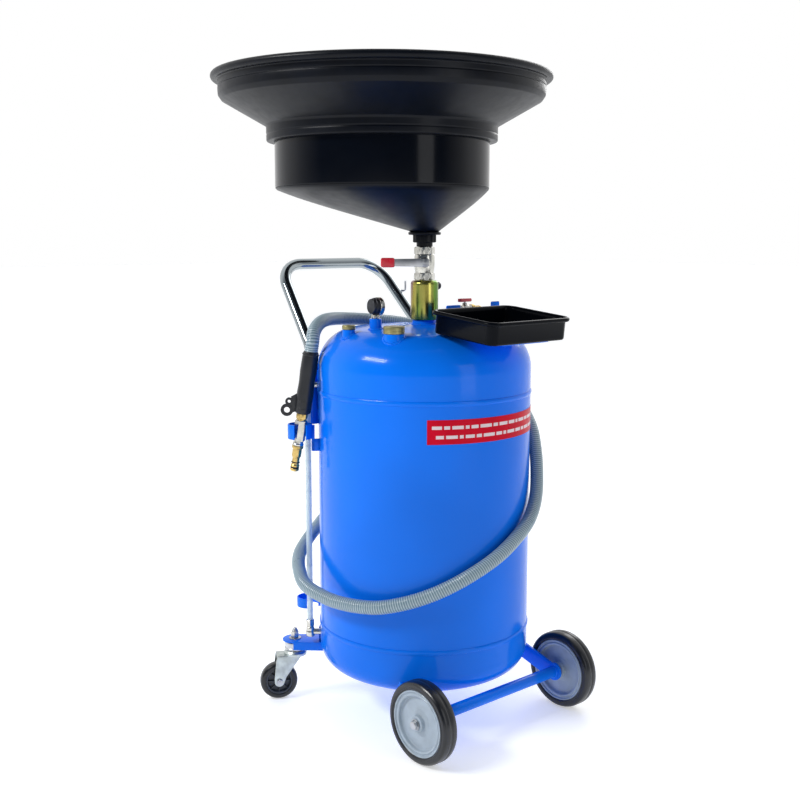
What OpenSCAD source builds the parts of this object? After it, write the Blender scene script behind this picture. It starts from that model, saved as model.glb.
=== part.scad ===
// Mobile waste-oil drainer: wheeled pressure tank with a height-adjustable catching bowl.
// Millimetres, +Z up, origin on the floor under the middle of the whole object.
// X runs along the fixed axle, and the two fixed wheels stand on the -Y side.

/* [Tank] */
// Outside diameter of the tank
tank_d = 410; // [400:1:412]
// Wall thickness of the tank
tank_wall = 3; // [2:0.5:5]
// Height of the lower weld seam above the floor
seam_low = 173; // [165:1:180]
// Height of the upper weld seam above the floor
seam_high = 631; // [626:1:636]

/* [Bowl] */
// Diameter of the rim of the catching bowl
rim_d = 634; // [626:1:650]
// Diameter of the drum under the funnel
drum_d = 403; // [396:1:410]
// Height of the bowl's rim above the floor, bowl at its lowest
rim_z = 1220; // [1215:1:1230]
// Wall thickness of the bowl
bowl_wall = 4; // [3:0.5:5]
// Sideways distance from the drain tube to the bowl's middle, along X
bowl_x = -60; // [-65:1:-55]
// Sideways distance from the drain tube to the bowl's middle, along Y
bowl_y = 53; // [48:1:58]

/* [Drain column] */
// Outside diameter of the telescopic drain tube
column_d = 27; // [26:0.5:28]
// Outside diameter of the guide sleeve
sleeve_d = 53; // [50:1:56]
// Direction that the valve stem points in, degrees from +X
stem_dir = 228.6; // [220:0.1:236]

/* [Wheels] */
// Diameter of the fixed wheels
wheel_d = 150; // [146:1:152]
// Width of the fixed wheels' tyres
wheel_w = 33; // [28:1:34]
// Distance from the middle to each fixed wheel
wheel_x = 189; // [187:1:195]
// Distance of the fixed axle in front of the tank's axis
wheel_y = 203; // [200:1:206]
// Diameter of the caster wheels
caster_d = 75; // [72:1:78]

/* [Handle] */
// Outside diameter of the handle tube
handle_d = 22; // [20:1:22]
// Height of the handle's top bar
handle_z = 867; // [840:1:880]

/* [Tray] */
// Length of the tool tray
tray_l = 213; // [205:1:216]
// Width of the tool tray
tray_b = 165; // [155:1:165]
// Depth of the tool tray
tray_h = 42; // [35:1:42]

/* [Hidden] */
$fn = 64;
run_fit = 0.05;
fine = 0.3;
tank_r = tank_d / 2;
// Dished ends: height past the seam, radius of the crown, radius of the knuckle
top_dish = [126, 1376, 74];
low_dish = [124, 410, 45];
rim_r = rim_d / 2;
drum_r = drum_d / 2;
wheel_r = wheel_d / 2;
// The middle of the whole object's footprint is the origin
frame_x = -bowl_x;
frame_y = -(bowl_y + rim_r - wheel_y - wheel_r) / 2;

// Bowl heights, counted down from the rim
lip_z = rim_z - 14;
wall_z = rim_z - 32;
flare_z = rim_z - 94;
collar_z = rim_z - 122;
drum_z = rim_z - 206;
outlet_z = rim_z - 288;
collar_r = drum_r + 15;
dish_r = rim_r - 13;
outlet_r = 27;

// Column heights
socket_r = 23;
socket_bore = 18.5;
socket_top = 766;
sleeve_top = 841;
sleeve_bore = 22;
column_r = column_d / 2;
column_bore = column_r - 2.6;
bush_bore = column_r + run_fit;
column_low = 110;
valve_low = sleeve_top + 0.5;
valve_top = 904;
ball_z = 875;
ball_r = 14;
stem_r = 4;
lever_l = 81;
lever_x = 32;
tail_r = 12;
lock_dir = 5;
lock_z = 829;

// Handle and its sockets stand on the 45 degree diagonals
leg_xy = (tank_r + 14.2) / sqrt(2);
leg_knee = 706;
handle_x = 130;
handle_y = 293.5;
// Top fittings: place, radius and upper end of each welded socket
filler = [-142, -73];
vent = [-160, 33];
gauge = [-111, 14];
air = [119, 10];
filler_z = 751;
filler_bore = 14;
vent_z = 753;
vent_bore = 7;
fittings = [[filler, 18.5, filler_bore, filler_z], [vent, 11.5, vent_bore, vent_z], [gauge, 11.5, 5, 772],
    [air, 10, 5, 760]];
gauge_dir = 351;
gauge_z = 795;
air_z = 781;
// Sight tube and holders
sight_dir = 141;
sight_r = 225.5;
sight_low = 160;
ring_dir = 128.2;
ring_r = 236;
ring_z = 182;
ring_out = 23.5;
strip = 2.5;
// Grip that hangs in the clip
gun_top = [-197, 100, 710];
gun_tilt = 9.2;
gun_dir = 122;
clip_xy = [-210, 121];
clip_z = 543;
ear_turn = 16.6;
// Rear hose fitting
fit_xy = [15, 234];
fit_z = 425;
nipple_r = 6;
dip_y = 150;
dip_low = 92;
// Casters on the rear diagonals
caster_xy = 183;
caster_r = caster_d / 2;
caster_rim = caster_r - 11;
caster_trail = 34;
caster_dirs = [30, 150];
bracket_top = 122;
bracket_low = 105;
axle_r = 6;
arm_x = 163;
// Tray
tray_x0 = -98.5;
tray_y1 = -113;
tray_top = 795;
tray_tilt = 5.6;
// The hose from the grip, over the shoulder and round the tank to the rear fitting
hose_r = 13;
hose_route = [
    [-197, 100, 710], [-195, 98, 727], [-188, 104, 743], [-174, 112, 755], [-155, 122, 762],
    [-128, 140, 764], [-98, 160, 763], [-65, 178, 761], [-38, 185, 759], [0, 190, 756],
    [38, 188, 752], [75, 177, 748], [107.5, 159, 742], [142, 138.5, 733.5], [178, 112, 716],
    [198, 89, 697], [214, 53, 668], [220, 2, 632], [215, -43, 598], [194, -103, 551],
    [173, -136, 508], [150, -161, 466], [123, -183, 431], [89, -202, 404], [49, -215, 382],
    [-19, -220, 348], [-89, -202, 314], [-144, -167, 286], [-187, -122, 267], [-214, -77, 259],
    [-235, -8, 259], [-241, 64, 271], [-217, 120, 286], [-182, 166, 299], [-142, 196, 313],
    [-100, 216, 331], [-61, 228, 354], [-29, 233, 382], [0, 234, 411]
];

// ---- functions and shared shapes ----

function unit(v) = v / norm(v);
function arc(cx, cz, r, a0, a1, n) =
    [for (i = [0:n]) let (a = a0 + (a1 - a0) * i / n) [cx + r * cos(a), cz + r * sin(a)]];
function along(p, i) = unit(p[min(i + 1, len(p) - 1)] - p[max(i - 1, 0)]);
function across(v, t) = unit(v - (v * t) * t);
// Side directions carried along a path without twist
function sides(t, first) =
    [for (i = 0, s = across(first, t[0]); i < len(t);
        s = i + 1 < len(t) ? across(s, t[i + 1]) : s, i = i + 1) s];
// A smooth curve through the points, with one extra point in the middle of each span
function halfway(p, i) =
    let (a = p[max(i - 1, 0)], b = p[i], c = p[i + 1], d = p[min(i + 2, len(p) - 1)])
    (b + c) * 9 / 16 - (a + d) / 16;
function smooth(p) = [for (i = [0:2 * len(p) - 2]) i % 2 == 0 ? p[i / 2] : halfway(p, floor(i / 2))];
// Points of a corner rounded to radius r
function corner(a, p, b, r, n = 7) =
    let (u = unit(a - p), v = unit(b - p), half = acos(u * v) / 2, turn = 180 - 2 * half,
        c = p + unit(u + v) * r / sin(half), s = unit(p + u * r / tan(half) - c),
        e = unit(p + v * r / tan(half) - c))
    [for (i = [0:n]) c + r * (sin((1 - i / n) * turn) * s + sin(i / n * turn) * e) / sin(turn)];

module swept(path, r, n, first) {
    t = [for (i = [0:len(path) - 1]) along(path, i)];
    s = sides(t, first);
    rings = len(path);
    points = [for (i = [0:rings - 1], k = [0:n - 1])
        path[i] + r * (cos(360 * k / n) * s[i] + sin(360 * k / n) * cross(t[i], s[i]))];
    walls = [for (i = [0:rings - 2], k = [0:n - 1]) let (a = i * n + k, b = i * n + (k + 1) % n)
        each [[a, a + n, b + n], [a, b + n, b]]];
    near = [for (k = [0:n - 1]) k];
    far = [for (k = [n - 1:-1:0]) (rings - 1) * n + k];
    polyhedron(points, concat([near], walls, [far]));
}

module placed() {
    translate([frame_x, frame_y, 0]) children();
}

module ring(r, bore, h) {
    difference() {
        cylinder(r = r, h = h);
        translate([0, 0, -1]) cylinder(r = bore, h = h + 2);
    }
}

// Outline of a dished end, above the seam at height 0
module head_outline(dish, inset) {
    c = dish[0] - dish[1];
    k = c + sqrt(pow(dish[1] - dish[2], 2) - pow(tank_r - dish[2], 2));
    turn = atan2(k - c, tank_r - dish[2]);
    polygon(concat([[0, 0], [tank_r - inset, 0]],
        arc(tank_r - dish[2], k, dish[2] - inset, 0, turn, 10),
        arc(0, c, dish[1] - inset, turn, 90, 12)));
}

module head_solid(dish, inset) {
    rotate_extrude($fn = 96) intersection() {
        head_outline(dish, inset);
        square([tank_r, dish[0] + 1]);
    }
}

module low_head(inset) {
    translate([0, 0, seam_low]) mirror([0, 0, 1]) head_solid(low_dish, inset);
}

module tank_outside() {
    translate([0, 0, seam_high]) head_solid(top_dish, 0);
    translate([0, 0, seam_low]) cylinder(r = tank_r, h = seam_high - seam_low);
    low_head(0);
}

module off_tank() {
    difference() {
        children();
        tank_outside();
    }
}

// ---- tank ----

module tank_shell() {
    placed() color("#1e78e0") difference() {
        translate([0, 0, seam_low]) ring(tank_r, tank_r - tank_wall, seam_high - seam_low);
        translate([fit_xy.x, 0, fit_z]) rotate([-90, 0, 0]) cylinder(r = nipple_r, h = 300);
    }
}

module tank_top_head() {
    placed() color("#1e78e0") translate([0, 0, seam_high]) difference() {
        head_solid(top_dish, 0);
        translate([0, 0, -0.01]) head_solid(top_dish, tank_wall);
        translate([0, 0, 80]) cylinder(r = socket_r, h = 60);
        for (f = fittings) translate([f[0].x, f[0].y, 40]) cylinder(r = f[1], h = 100);
    }
}

module tank_bottom_head() {
    placed() color("#1e78e0") difference() {
        low_head(0);
        translate([0, 0, 0.01]) low_head(tank_wall);
    }
}

module top_sockets() {
    placed() color("#1e78e0") {
        translate([0, 0, 700]) ring(socket_r, socket_bore, socket_top - 700);
        for (f = fittings) translate([f[0].x, f[0].y, 700]) ring(f[1], f[2], f[3] - 700);
    }
}

module filler_plug() {
    placed() color("#8f8a4a") translate([filler.x, filler.y, filler_z + fine]) {
        cylinder(r = 19.5, h = 13.5);
        translate([0, 0, -16]) cylinder(r = filler_bore - run_fit, h = 16);
    }
}

module vent_plug() {
    placed() color("#8f8a4a") translate([vent.x, vent.y, vent_z + fine]) {
        cylinder(r = 12.5, h = 8);
        translate([0, 0, -14]) cylinder(r = vent_bore - run_fit, h = 14);
    }
}

// ---- drain column ----

module guide_sleeve() {
    placed() color("#8c9a3c") translate([0, 0, socket_top]) difference() {
        rotate_extrude() union() {
            square([sleeve_d / 2 - 7, sleeve_top - socket_top]);
            square([sleeve_d / 2, sleeve_top - socket_top - 7]);
            translate([sleeve_d / 2 - 7, sleeve_top - socket_top - 7]) circle(r = 7);
        }
        translate([0, 0, -1]) cylinder(r = sleeve_bore, h = sleeve_top - socket_top - 4);
        cylinder(r = column_r + 1, h = 100);
        translate([0, 0, lock_z - socket_top]) rotate([0, 90, lock_dir])
            cylinder(r = stem_r + run_fit, h = 60);
    }
}

module column_bushes() {
    placed() color("#e8e4d8") {
        translate([0, 0, 705]) ring(socket_bore, bush_bore, 30);
        translate([0, 0, 790]) ring(sleeve_bore, bush_bore, 26);
    }
}

module lock_screw() {
    placed() color("#3a3c40") translate([0, 0, lock_z]) rotate([0, 90, lock_dir]) {
        translate([0, 0, column_r + 1]) cylinder(r = stem_r, h = 19);
        translate([0, 0, column_r + 20]) cylinder(r = 7.5, h = 8);
    }
}

module column_tube() {
    placed() color("#b9bcc0") {
        translate([0, 0, column_low]) ring(column_r, column_bore, valve_low + 10.5 - column_low);
        translate([0, 0, column_low]) ring(column_r + 4, column_r, 15);
    }
}

module valve_body() {
    placed() color("#b4b6b2") difference() {
        union() {
            translate([0, 0, valve_low]) cylinder(r = 20.5, h = 13.5, $fn = 6);
            translate([0, 0, valve_low + 13]) cylinder(r = 17.5, h = 36);
            translate([0, 0, valve_top - 14.5]) cylinder(r = 20, h = 14.5, $fn = 6);
            translate([0, 0, ball_z]) rotate([0, 90, stem_dir]) cylinder(r = 8, h = 26);
        }
        translate([0, 0, valve_low - 1]) cylinder(r = column_r, h = 11.5);
        translate([0, 0, valve_low]) cylinder(r = 10, h = 80);
        translate([0, 0, ball_z]) sphere(r = ball_r + 0.5);
        translate([0, 0, ball_z + 9]) cylinder(r = tail_r + run_fit, h = 60);
        translate([0, 0, ball_z]) rotate([0, 90, stem_dir]) cylinder(r = stem_r + run_fit, h = 60);
    }
}

module valve_ball() {
    placed() color("#d8dade") translate([0, 0, ball_z]) rotate([0, 0, stem_dir]) difference() {
        sphere(r = ball_r);
        rotate([90, 0, 0]) cylinder(r = 9, h = 60, center = true);
        translate([11, -8, -1.5]) cube([6, 16, 3]);
    }
}

// Stem, lever bar and nut; the lever lies across the pipe when the valve is shut
module valve_lever() {
    placed() color("#c4c8cc") translate([0, 0, ball_z]) rotate([0, 0, stem_dir]) {
        translate([11, -3, -1.5]) cube([3.5, 6, 3]);
        rotate([0, 90, 0]) translate([0, 0, 14.5]) cylinder(r = stem_r, h = lever_x + 8 - 14.5);
        difference() {
            translate([lever_x, -lever_l, -7.5]) cube([3, lever_l + 8, 15]);
            rotate([0, 90, 0]) cylinder(r = stem_r, h = 60);
        }
        rotate([0, 90, 0]) translate([0, 0, lever_x + 3]) ring(6.5, stem_r, 4);
    }
}

module lever_sleeve() {
    placed() color("#d0202c") translate([0, 0, ball_z]) rotate([0, 0, stem_dir]) difference() {
        translate([lever_x - 2, -lever_l - 2, -9.5]) cube([7, 28, 19]);
        translate([lever_x, -lever_l, -7.5]) cube([3, 40, 15]);
    }
}

// ---- bowl ----

module bowl_outlet() {
    placed() color("#15171a") difference() {
        union() {
            translate([0, 0, ball_z + 15]) cylinder(r = tail_r, h = 30);
            translate([0, 0, valve_top + fine]) cylinder(r = 15.5, h = 24);
            translate([0, 0, outlet_z - 4]) cylinder(r = 31, h = 4);
        }
        cylinder(r = 9, h = outlet_z + 10);
    }
}

module union_nut() {
    placed() color("#15171a") translate([0, 0, outlet_z - 20]) difference() {
        cylinder(r = 21.5, h = 16);
        translate([0, 0, -1]) cylinder(r = 15.5, h = 20);
        for (a = [0:30:330]) rotate(a) translate([22.6, 0, -1]) cylinder(r = 2, h = 20, $fn = 16);
    }
}

module bowl_cone() {
    placed() color("#15171a") difference() {
        hull() {
            translate([bowl_x, bowl_y, drum_z - 3]) cylinder(r = drum_r, h = 3, $fn = 32);
            translate([0, 0, outlet_z]) cylinder(r = outlet_r, h = 2, $fn = 32);
        }
        hull() {
            translate([bowl_x, bowl_y, drum_z - 2]) cylinder(r = drum_r - bowl_wall, h = 4, $fn = 32);
            translate([0, 0, outlet_z + bowl_wall]) cylinder(r = 13, h = 2, $fn = 32);
        }
        translate([0, 0, outlet_z - 1]) cylinder(r = 9, h = 20, $fn = 32);
    }
}

module bowl_drum() {
    placed() color("#15171a") translate([bowl_x, bowl_y, drum_z]) {
        ring(drum_r, drum_r - bowl_wall, flare_z - drum_z - 2);
        ring(drum_r - bowl_wall, drum_r - bowl_wall - 10, 3);
    }
}

// Collar that grips the drum, flared dish and rolled rim
module bowl_funnel() {
    w = bowl_wall;
    placed() color("#15171a") translate([bowl_x, bowl_y, 0]) rotate_extrude() union() {
        polygon([[drum_r + fine, collar_z], [collar_r, collar_z], [collar_r, flare_z], [dish_r - 4, wall_z - 14],
            [dish_r, wall_z], [dish_r, lip_z], [rim_r - 4, lip_z], [rim_r - 4, rim_z], [dish_r - w, rim_z],
            [dish_r - w, wall_z + 1], [dish_r - 8, wall_z - 12], [collar_r - 6, flare_z + 5],
            [drum_r - w, flare_z + 2], [drum_r - w, flare_z - 1], [drum_r + fine, flare_z - 1]]);
        translate([rim_r - 7, rim_z - 7]) circle(r = 7, $fn = 32);
    }
}

module bowl_strainer() {
    placed() color("#c8ccd0") translate([bowl_x, bowl_y, drum_z + 3 + fine]) difference() {
        cylinder(r = drum_r - bowl_wall - 2, h = 2);
        for (n = [1:3], k = [1:8 * n]) rotate(k * 45 / n) translate([50 * n, 0, -1]) cylinder(r = 7, h = 4, $fn = 24);
    }
}

// ---- small fittings on the top head ----

module gauge_axis() {
    placed() translate([gauge.x, gauge.y, gauge_z]) rotate([0, 90, gauge_dir]) children();
}

module gauge_case() {
    gauge_axis() color("#26282b") {
        difference() {
            translate([0, 0, -11]) cylinder(r = 17, h = 22);
            translate([0, 0, -5]) cylinder(r = 15, h = 30);
        }
        rotate([0, 90, 0]) translate([0, 0, 15.5]) cylinder(r = 8.5, h = 7.2, $fn = 6);
    }
}

module gauge_dial() {
    gauge_axis() color("#f2f2ee") translate([0, 0, -5]) ring(15, 1.6, 1.5);
}

module gauge_needle() {
    gauge_axis() color("#202020") {
        translate([0, 0, -4.9]) cylinder(r = 1.5, h = 7);
        translate([-1, -2, -1]) cube([2, 14, 1]);
    }
}

module gauge_glass() {
    gauge_axis() color("#dfeef2") translate([0, 0, 6]) cylinder(r = 15, h = 2);
}

module air_valve_body() {
    placed() color("#b4b6b2") translate([air.x, air.y, 0]) difference() {
        union() {
            translate([0, 0, 760]) cylinder(r = 10, h = 10, $fn = 6);
            translate([0, 0, 769]) cylinder(r = 8, h = 12);
            translate([0, 0, air_z]) rotate([0, 90, 0]) translate([0, 0, -14]) cylinder(r = 8, h = 30);
            translate([0, 0, air_z]) cylinder(r = 5, h = 12);
        }
        translate([0, 0, 759]) cylinder(r = 4, h = 20);
        translate([0, 0, air_z]) rotate([0, 90, 0]) cylinder(r = 4, h = 40);
        translate([0, 0, air_z + 4]) cylinder(r = 2 + run_fit, h = 10);
    }
}

module air_valve_handle() {
    placed() color("#d0202c") translate([air.x, air.y, air_z + 12.5]) {
        translate([0, 0, -6]) cylinder(r = 2, h = 8);
        translate([-17, -5, 1]) cube([34, 10, 7]);
    }
}

module air_nipple() {
    placed() color("#c8b070") translate([air.x + 16, air.y, air_z]) rotate([0, 90, 0]) difference() {
        union() {
            cylinder(r = 8.5, h = 8, $fn = 6);
            cylinder(r = 5, h = 28);
        }
        translate([0, 0, -1]) cylinder(r = 3, h = 40);
    }
}

// ---- tray ----

module rounded_plate(l, b, r, h) {
    linear_extrude(h) union() {
        translate([r, 0]) square([l - 2 * r, b]);
        translate([0, r]) square([l, b - 2 * r]);
        for (x = [r, l - r], y = [r, b - r]) translate([x, y]) circle(r = r);
    }
}

module tray_place() {
    placed() translate([tray_x0, tray_y1, tray_top]) rotate([tray_tilt, 0, 0]) translate([0, -tray_b, 0])
        children();
}

module tray() {
    tray_place() color("#15171a") difference() {
        union() {
            translate([0, 0, -8]) rounded_plate(tray_l, tray_b, 24, 8);
            translate([7, 7, -tray_h]) rounded_plate(tray_l - 14, tray_b - 14, 18, tray_h);
        }
        translate([10, 10, 3 - tray_h]) rounded_plate(tray_l - 20, tray_b - 20, 15, tray_h);
    }
}

module tray_bracket() {
    color("#1e78e0") difference() {
        union() {
            tray_place() translate([50, 20, -tray_h - 3.5]) cube([120, 98, 3]);
            tray_place() translate([62, 88, -tray_h - 24]) cube([96, 24, 21]);
            placed() translate([-21, -84, 700]) cube([36, 3, 97]);
            placed() translate([98, -84, 700]) cube([22, 3, 100]);
            placed() translate([10, -84, 700]) cube([100, 3, 60]);
        }
        placed() tank_outside();
    }
}

// ---- handle ----

module handle_tube() {
    knee_l = [-leg_xy, leg_xy, leg_knee];
    knee_r = [leg_xy, leg_xy, leg_knee];
    top_l = [-handle_x, handle_y, handle_z];
    top_r = [handle_x, handle_y, handle_z];
    foot_l = [-leg_xy, leg_xy, 575];
    foot_r = [leg_xy, leg_xy, 575];
    path = concat([foot_r], corner(foot_r, knee_r, top_r, 60), corner(knee_r, top_r, top_l, 50),
        corner(top_r, top_l, knee_l, 50), corner(top_l, knee_l, foot_l, 60), [foot_l]);
    placed() color("#c9ced6") swept(path, handle_d / 2, 12, [0, 1, 0]);
}

module handle_sockets() {
    placed() color("#1e78e0") off_tank() for (a = [45, 135]) rotate(a) difference() {
        union() {
            translate([tank_r + 14.2, 0, 562]) cylinder(r = 14, h = 118);
            translate([tank_r - 6, -7, 566]) cube([14, 14, 104]);
        }
        translate([tank_r + 14.2, 0, 561]) cylinder(r = handle_d / 2, h = 120);
    }
}

module handle_hook() {
    path = concat([[138, 238, 809]], corner([138, 238, 809], [153, 225, 807], [153, 225, 829], 5, 5),
        [[153, 225, 829]]);
    placed() color("#7c8088") swept(path, 2, 8, [0, 1, 0]);
}

// ---- sight tube, rings and label ----

module sight_tube() {
    placed() color("#d8e4ea") rotate(sight_dir) translate([sight_r, 0, sight_low]) ring(6, 4.5, 635 - sight_low);
}

module sight_fittings() {
    placed() color("#b4b6b2") rotate(sight_dir) difference() {
        union() {
            translate([sight_r, 0, sight_low - 24]) cylinder(r = 9, h = 34);
            translate([tank_r - 22, 0, sight_low - 15]) rotate([0, 90, 0]) cylinder(r = 6, h = 40);
            translate([sight_r, 0, 622]) cylinder(r = 8, h = 28);
            translate([tank_r - 1, 0, 641]) rotate([0, 90, 0]) cylinder(r = 6, h = 18);
        }
        translate([sight_r, 0, sight_low]) cylinder(r = 6, h = 635 - sight_low);
        tank_outside();
    }
}

// A strip bent into a ring that is open over part of its turn
module open_ring(h, open_from, open_to) {
    rotate(open_to) rotate_extrude(angle = 360 - open_to + open_from)
        translate([ring_out - strip, 0]) square([strip, h]);
}

module holder_ring() {
    c = ring_r * [cos(ring_dir), sin(ring_dir)];
    placed() color("#1e78e0") off_tank() {
        translate([c.x, c.y, ring_z]) open_ring(19, 225, 300);
        rotate(ring_dir) translate([tank_r - 4, -8, ring_z + 2]) cube([ring_r - ring_out - tank_r + 5, 16, 15]);
    }
}

module gun_clip() {
    a = atan2(clip_xy.y, clip_xy.x);
    placed() color("#1e78e0") off_tank() {
        translate([clip_xy.x, clip_xy.y, clip_z]) open_ring(28, 205, 265);
        rotate(a) translate([tank_r - 4, -2, clip_z - 26]) cube([norm(clip_xy) - ring_out - tank_r + 4, 4, 24]);
        rotate(a) translate([norm(clip_xy) - ring_out - 5, -2, clip_z - 25.5]) cube([6.5, 4, 51.5]);
    }
}

module label() {
    placed() color("#c81e2a") difference() {
        translate([0, 0, 559]) ring(tank_r + 0.6, tank_r + 0.05, 44);
        linear_extrude(2000) polygon([[0, 0], [300 * cos(325), 300 * sin(325)], [400, 0], [300, 400],
            [-400, 400], [-400, 0], [400 * cos(228.6), 400 * sin(228.6)]]);
    }
}

// ---- rear fitting, hose and grip ----

module hose_fitting() {
    placed() color("#b4b6b2") {
        off_tank() translate([fit_xy.x, fit_xy.y, fit_z]) {
            sphere(r = 14);
            rotate([90, 0, 0]) cylinder(r = 11, h = fit_xy.y - tank_r + 10);
            rotate([0, -134, 0]) cylinder(r = 13, h = 20.5);
        }
        translate([fit_xy.x, fit_xy.y, fit_z]) rotate([90, 0, 0])
            cylinder(r = nipple_r, h = fit_xy.y - dip_y + 10);
    }
}

module dip_tube() {
    placed() color("#b9bcc0") translate([fit_xy.x, dip_y, dip_low]) ring(8, 6, fit_z - nipple_r - dip_low);
}

module suction_hose() {
    placed() color("#c4d0d2") swept(smooth(hose_route), hose_r, 10, [0.3, 0.9, 1]);
}

module gun_axis(drop) {
    placed() translate(gun_top) rotate([0, -gun_tilt, gun_dir]) translate([0, 0, -drop]) children();
}

module gun_grip() {
    color("#17191c") {
        gun_axis(120) cylinder(r = 16, h = 120);
        gun_axis(130) rotate([90, 0, ear_turn]) translate([0, 0, -2.5]) difference() {
            linear_extrude(5) polygon(concat([[14, 12], [28, 0]], arc(30, 12, 12, -90, 30, 6), [[16, 46], [14, 46]]));
            translate([30, 12, -1]) cylinder(r = 6, h = 10);
            translate([28, 29, -1]) cylinder(r = 3, h = 10);
        }
    }
}

module gun_body() {
    color("#9c9f9a") {
        gun_axis(131) cylinder(r = 11, h = 11, $fn = 6);
        gun_axis(183) cylinder(r = 12, h = 52, $fn = 6);
    }
}

module gun_tip() {
    color("#b08d3e") gun_axis(234) rotate_extrude()
        polygon([[0, 0], [7.5, 0], [8.5, 2], [8.5, 5], [7, 6], [7, 8], [8.5, 9], [8.5, 12], [7, 14], [7, 26],
            [9, 30], [9, 44], [11, 46], [11, 51], [0, 51]]);
}

// ---- fixed wheels ----

module axle_arms() {
    placed() color("#1e78e0") difference() {
        for (s = [-1, 1]) translate([s * arm_x - 3, 0, 0]) rotate([90, 0, 90]) difference() {
            linear_extrude(6) union() {
                polygon([[-110, 84], [-110, 118], [-wheel_y + 7, wheel_r + 16], [-wheel_y - 7, wheel_r - 16]]);
                translate([-wheel_y, wheel_r]) circle(r = 17.5);
            }
            translate([-wheel_y, wheel_r, -1]) cylinder(r = 11, h = 8);
        }
        low_head(0);
    }
}

module axle_tube() {
    placed() color("#1e78e0") translate([-arm_x - 3, -wheel_y, wheel_r]) rotate([0, 90, 0])
        ring(11, axle_r, 2 * arm_x + 6);
}

module axle_rod() {
    h = 2 * wheel_x + wheel_w + 12;
    placed() color("#b9bcc0") translate([-h / 2, -wheel_y, wheel_r]) rotate([0, 90, 0]) cylinder(r = axle_r, h = h);
}

module axle_nuts() {
    out = wheel_x + wheel_w / 2;
    placed() color("#c4c8cc") for (s = [0, 180]) translate([0, -wheel_y, wheel_r]) rotate([0, 90, s]) {
        translate([0, 0, arm_x + 3]) ring(9, axle_r, wheel_x - wheel_w / 2 - arm_x - 3.5);
        translate([0, 0, out + 1]) ring(10, axle_r, 1.5);
        translate([0, 0, out + 2.5]) difference() {
            cylinder(r = 9, h = 6, $fn = 6);
            translate([0, 0, -1]) cylinder(r = axle_r, h = 10);
        }
    }
}

module wheel_place(s) {
    placed() translate([s * wheel_x, -wheel_y, wheel_r]) rotate([0, 90 * s, 0]) children();
}

// Stepped plastic hub, turned about the axle; s is the side, +1 towards +X
module wheel_hub(s) {
    w = wheel_w / 2;
    wheel_place(s) color("#a9b0bb") rotate_extrude()
        polygon([[axle_r + run_fit, -w], [14, -w], [16, -8], [50, -8], [54, -w + 1], [60, -w + 1],
            [60, w - 1], [54, w - 1], [50, 8], [24, 8], [16, w], [axle_r + run_fit, w]]);
}

module wheel_tyre(s) {
    w = wheel_w / 2;
    wheel_place(s) color("#1c1c1e") rotate_extrude() difference() {
        union() {
            translate([60, -w + 4]) square([wheel_r - 60, 2 * w - 8]);
            translate([60, -w]) square([wheel_r - 65, 2 * w]);
            for (y = [-w + 5, w - 5]) translate([wheel_r - 5, y]) circle(r = 5, $fn = 32);
        }
        translate([wheel_r - 1, -1]) square([4, 2]);
    }
}

module wheel_hub_left() wheel_hub(-1);
module wheel_hub_right() wheel_hub(1);
module wheel_tyre_left() wheel_tyre(-1);
module wheel_tyre_right() wheel_tyre(1);

// ---- casters ----

module caster_brackets() {
    placed() color("#1e78e0") for (a = [45, 135]) rotate(a) difference() {
        union() {
            translate([150, -25, bracket_top - 3]) cube([caster_xy * sqrt(2) - 150, 50, 3]);
            translate([caster_xy * sqrt(2), 0, bracket_top - 3]) cylinder(r = 25, h = 3);
            for (y = [-25, 22]) translate([150, y, bracket_low]) cube([caster_xy * sqrt(2) - 150, 3, 16]);
            translate([150, -12, bracket_low]) cube([60, 24, 45]);
        }
        translate([caster_xy * sqrt(2), 0, 90]) cylinder(r = 6, h = 60);
        translate([210, -40, bracket_top]) cube([60, 80, 60]);
        tank_outside();
    }
}

module king_bolts() {
    placed() color("#c4c8cc") for (a = [45, 135]) rotate(a) translate([caster_xy * sqrt(2), 0, 0]) {
        translate([0, 0, 84]) cylinder(r = 6, h = 48);
        translate([0, 0, bracket_top]) ring(12, 6, 2);
        translate([0, 0, bracket_top + 2]) cylinder(r = 8.5, h = 12, $fn = 6);
        translate([0, 0, bracket_top + 14]) cylinder(r1 = 7, r2 = 3.5, h = 8);
        translate([0, 0, 100]) ring(21.5, 6, bracket_top - 3 - 100);
    }
}

module caster_place(side) {
    placed() translate([side * caster_xy, caster_xy, 0]) rotate(caster_dirs[side > 0 ? 0 : 1]) children();
}

// Pressed fork: round crown on the king bolt, two tapering legs to the axle
module caster_fork(side) {
    caster_place(side) color("#c8ccd0") {
        difference() {
            union() {
                translate([0, 0, 88]) cylinder(r = 23, h = 11.5);
                translate([0, -16, 88]) cube([38, 32, 3]);
            }
            translate([0, 0, 80]) cylinder(r = 6 + run_fit, h = 40);
        }
        for (y = [-16, 13.5]) difference() {
            translate([0, y + 2.5, 0]) rotate([90, 0, 0]) linear_extrude(2.5) union() {
                polygon([[-12, 92], [38, 92], [caster_trail + 9, caster_r + 4], [caster_trail - 9, caster_r - 2]]);
                translate([caster_trail, caster_r]) circle(r = 10);
            }
            translate([0, 0, 80]) cylinder(r = 6 + run_fit, h = 40);
        }
        translate([caster_trail, 19.5, caster_r]) rotate([90, 0, 0]) cylinder(r = 4, h = 39);
        for (y = [-16, 19.5]) translate([caster_trail, y, caster_r]) rotate([90, 0, 0])
            cylinder(r = 6.5, h = 3.5, $fn = 6);
    }
}

module caster_axis(side) {
    caster_place(side) translate([caster_trail, 0, caster_r]) rotate([90, 0, 0]) children();
}

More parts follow.
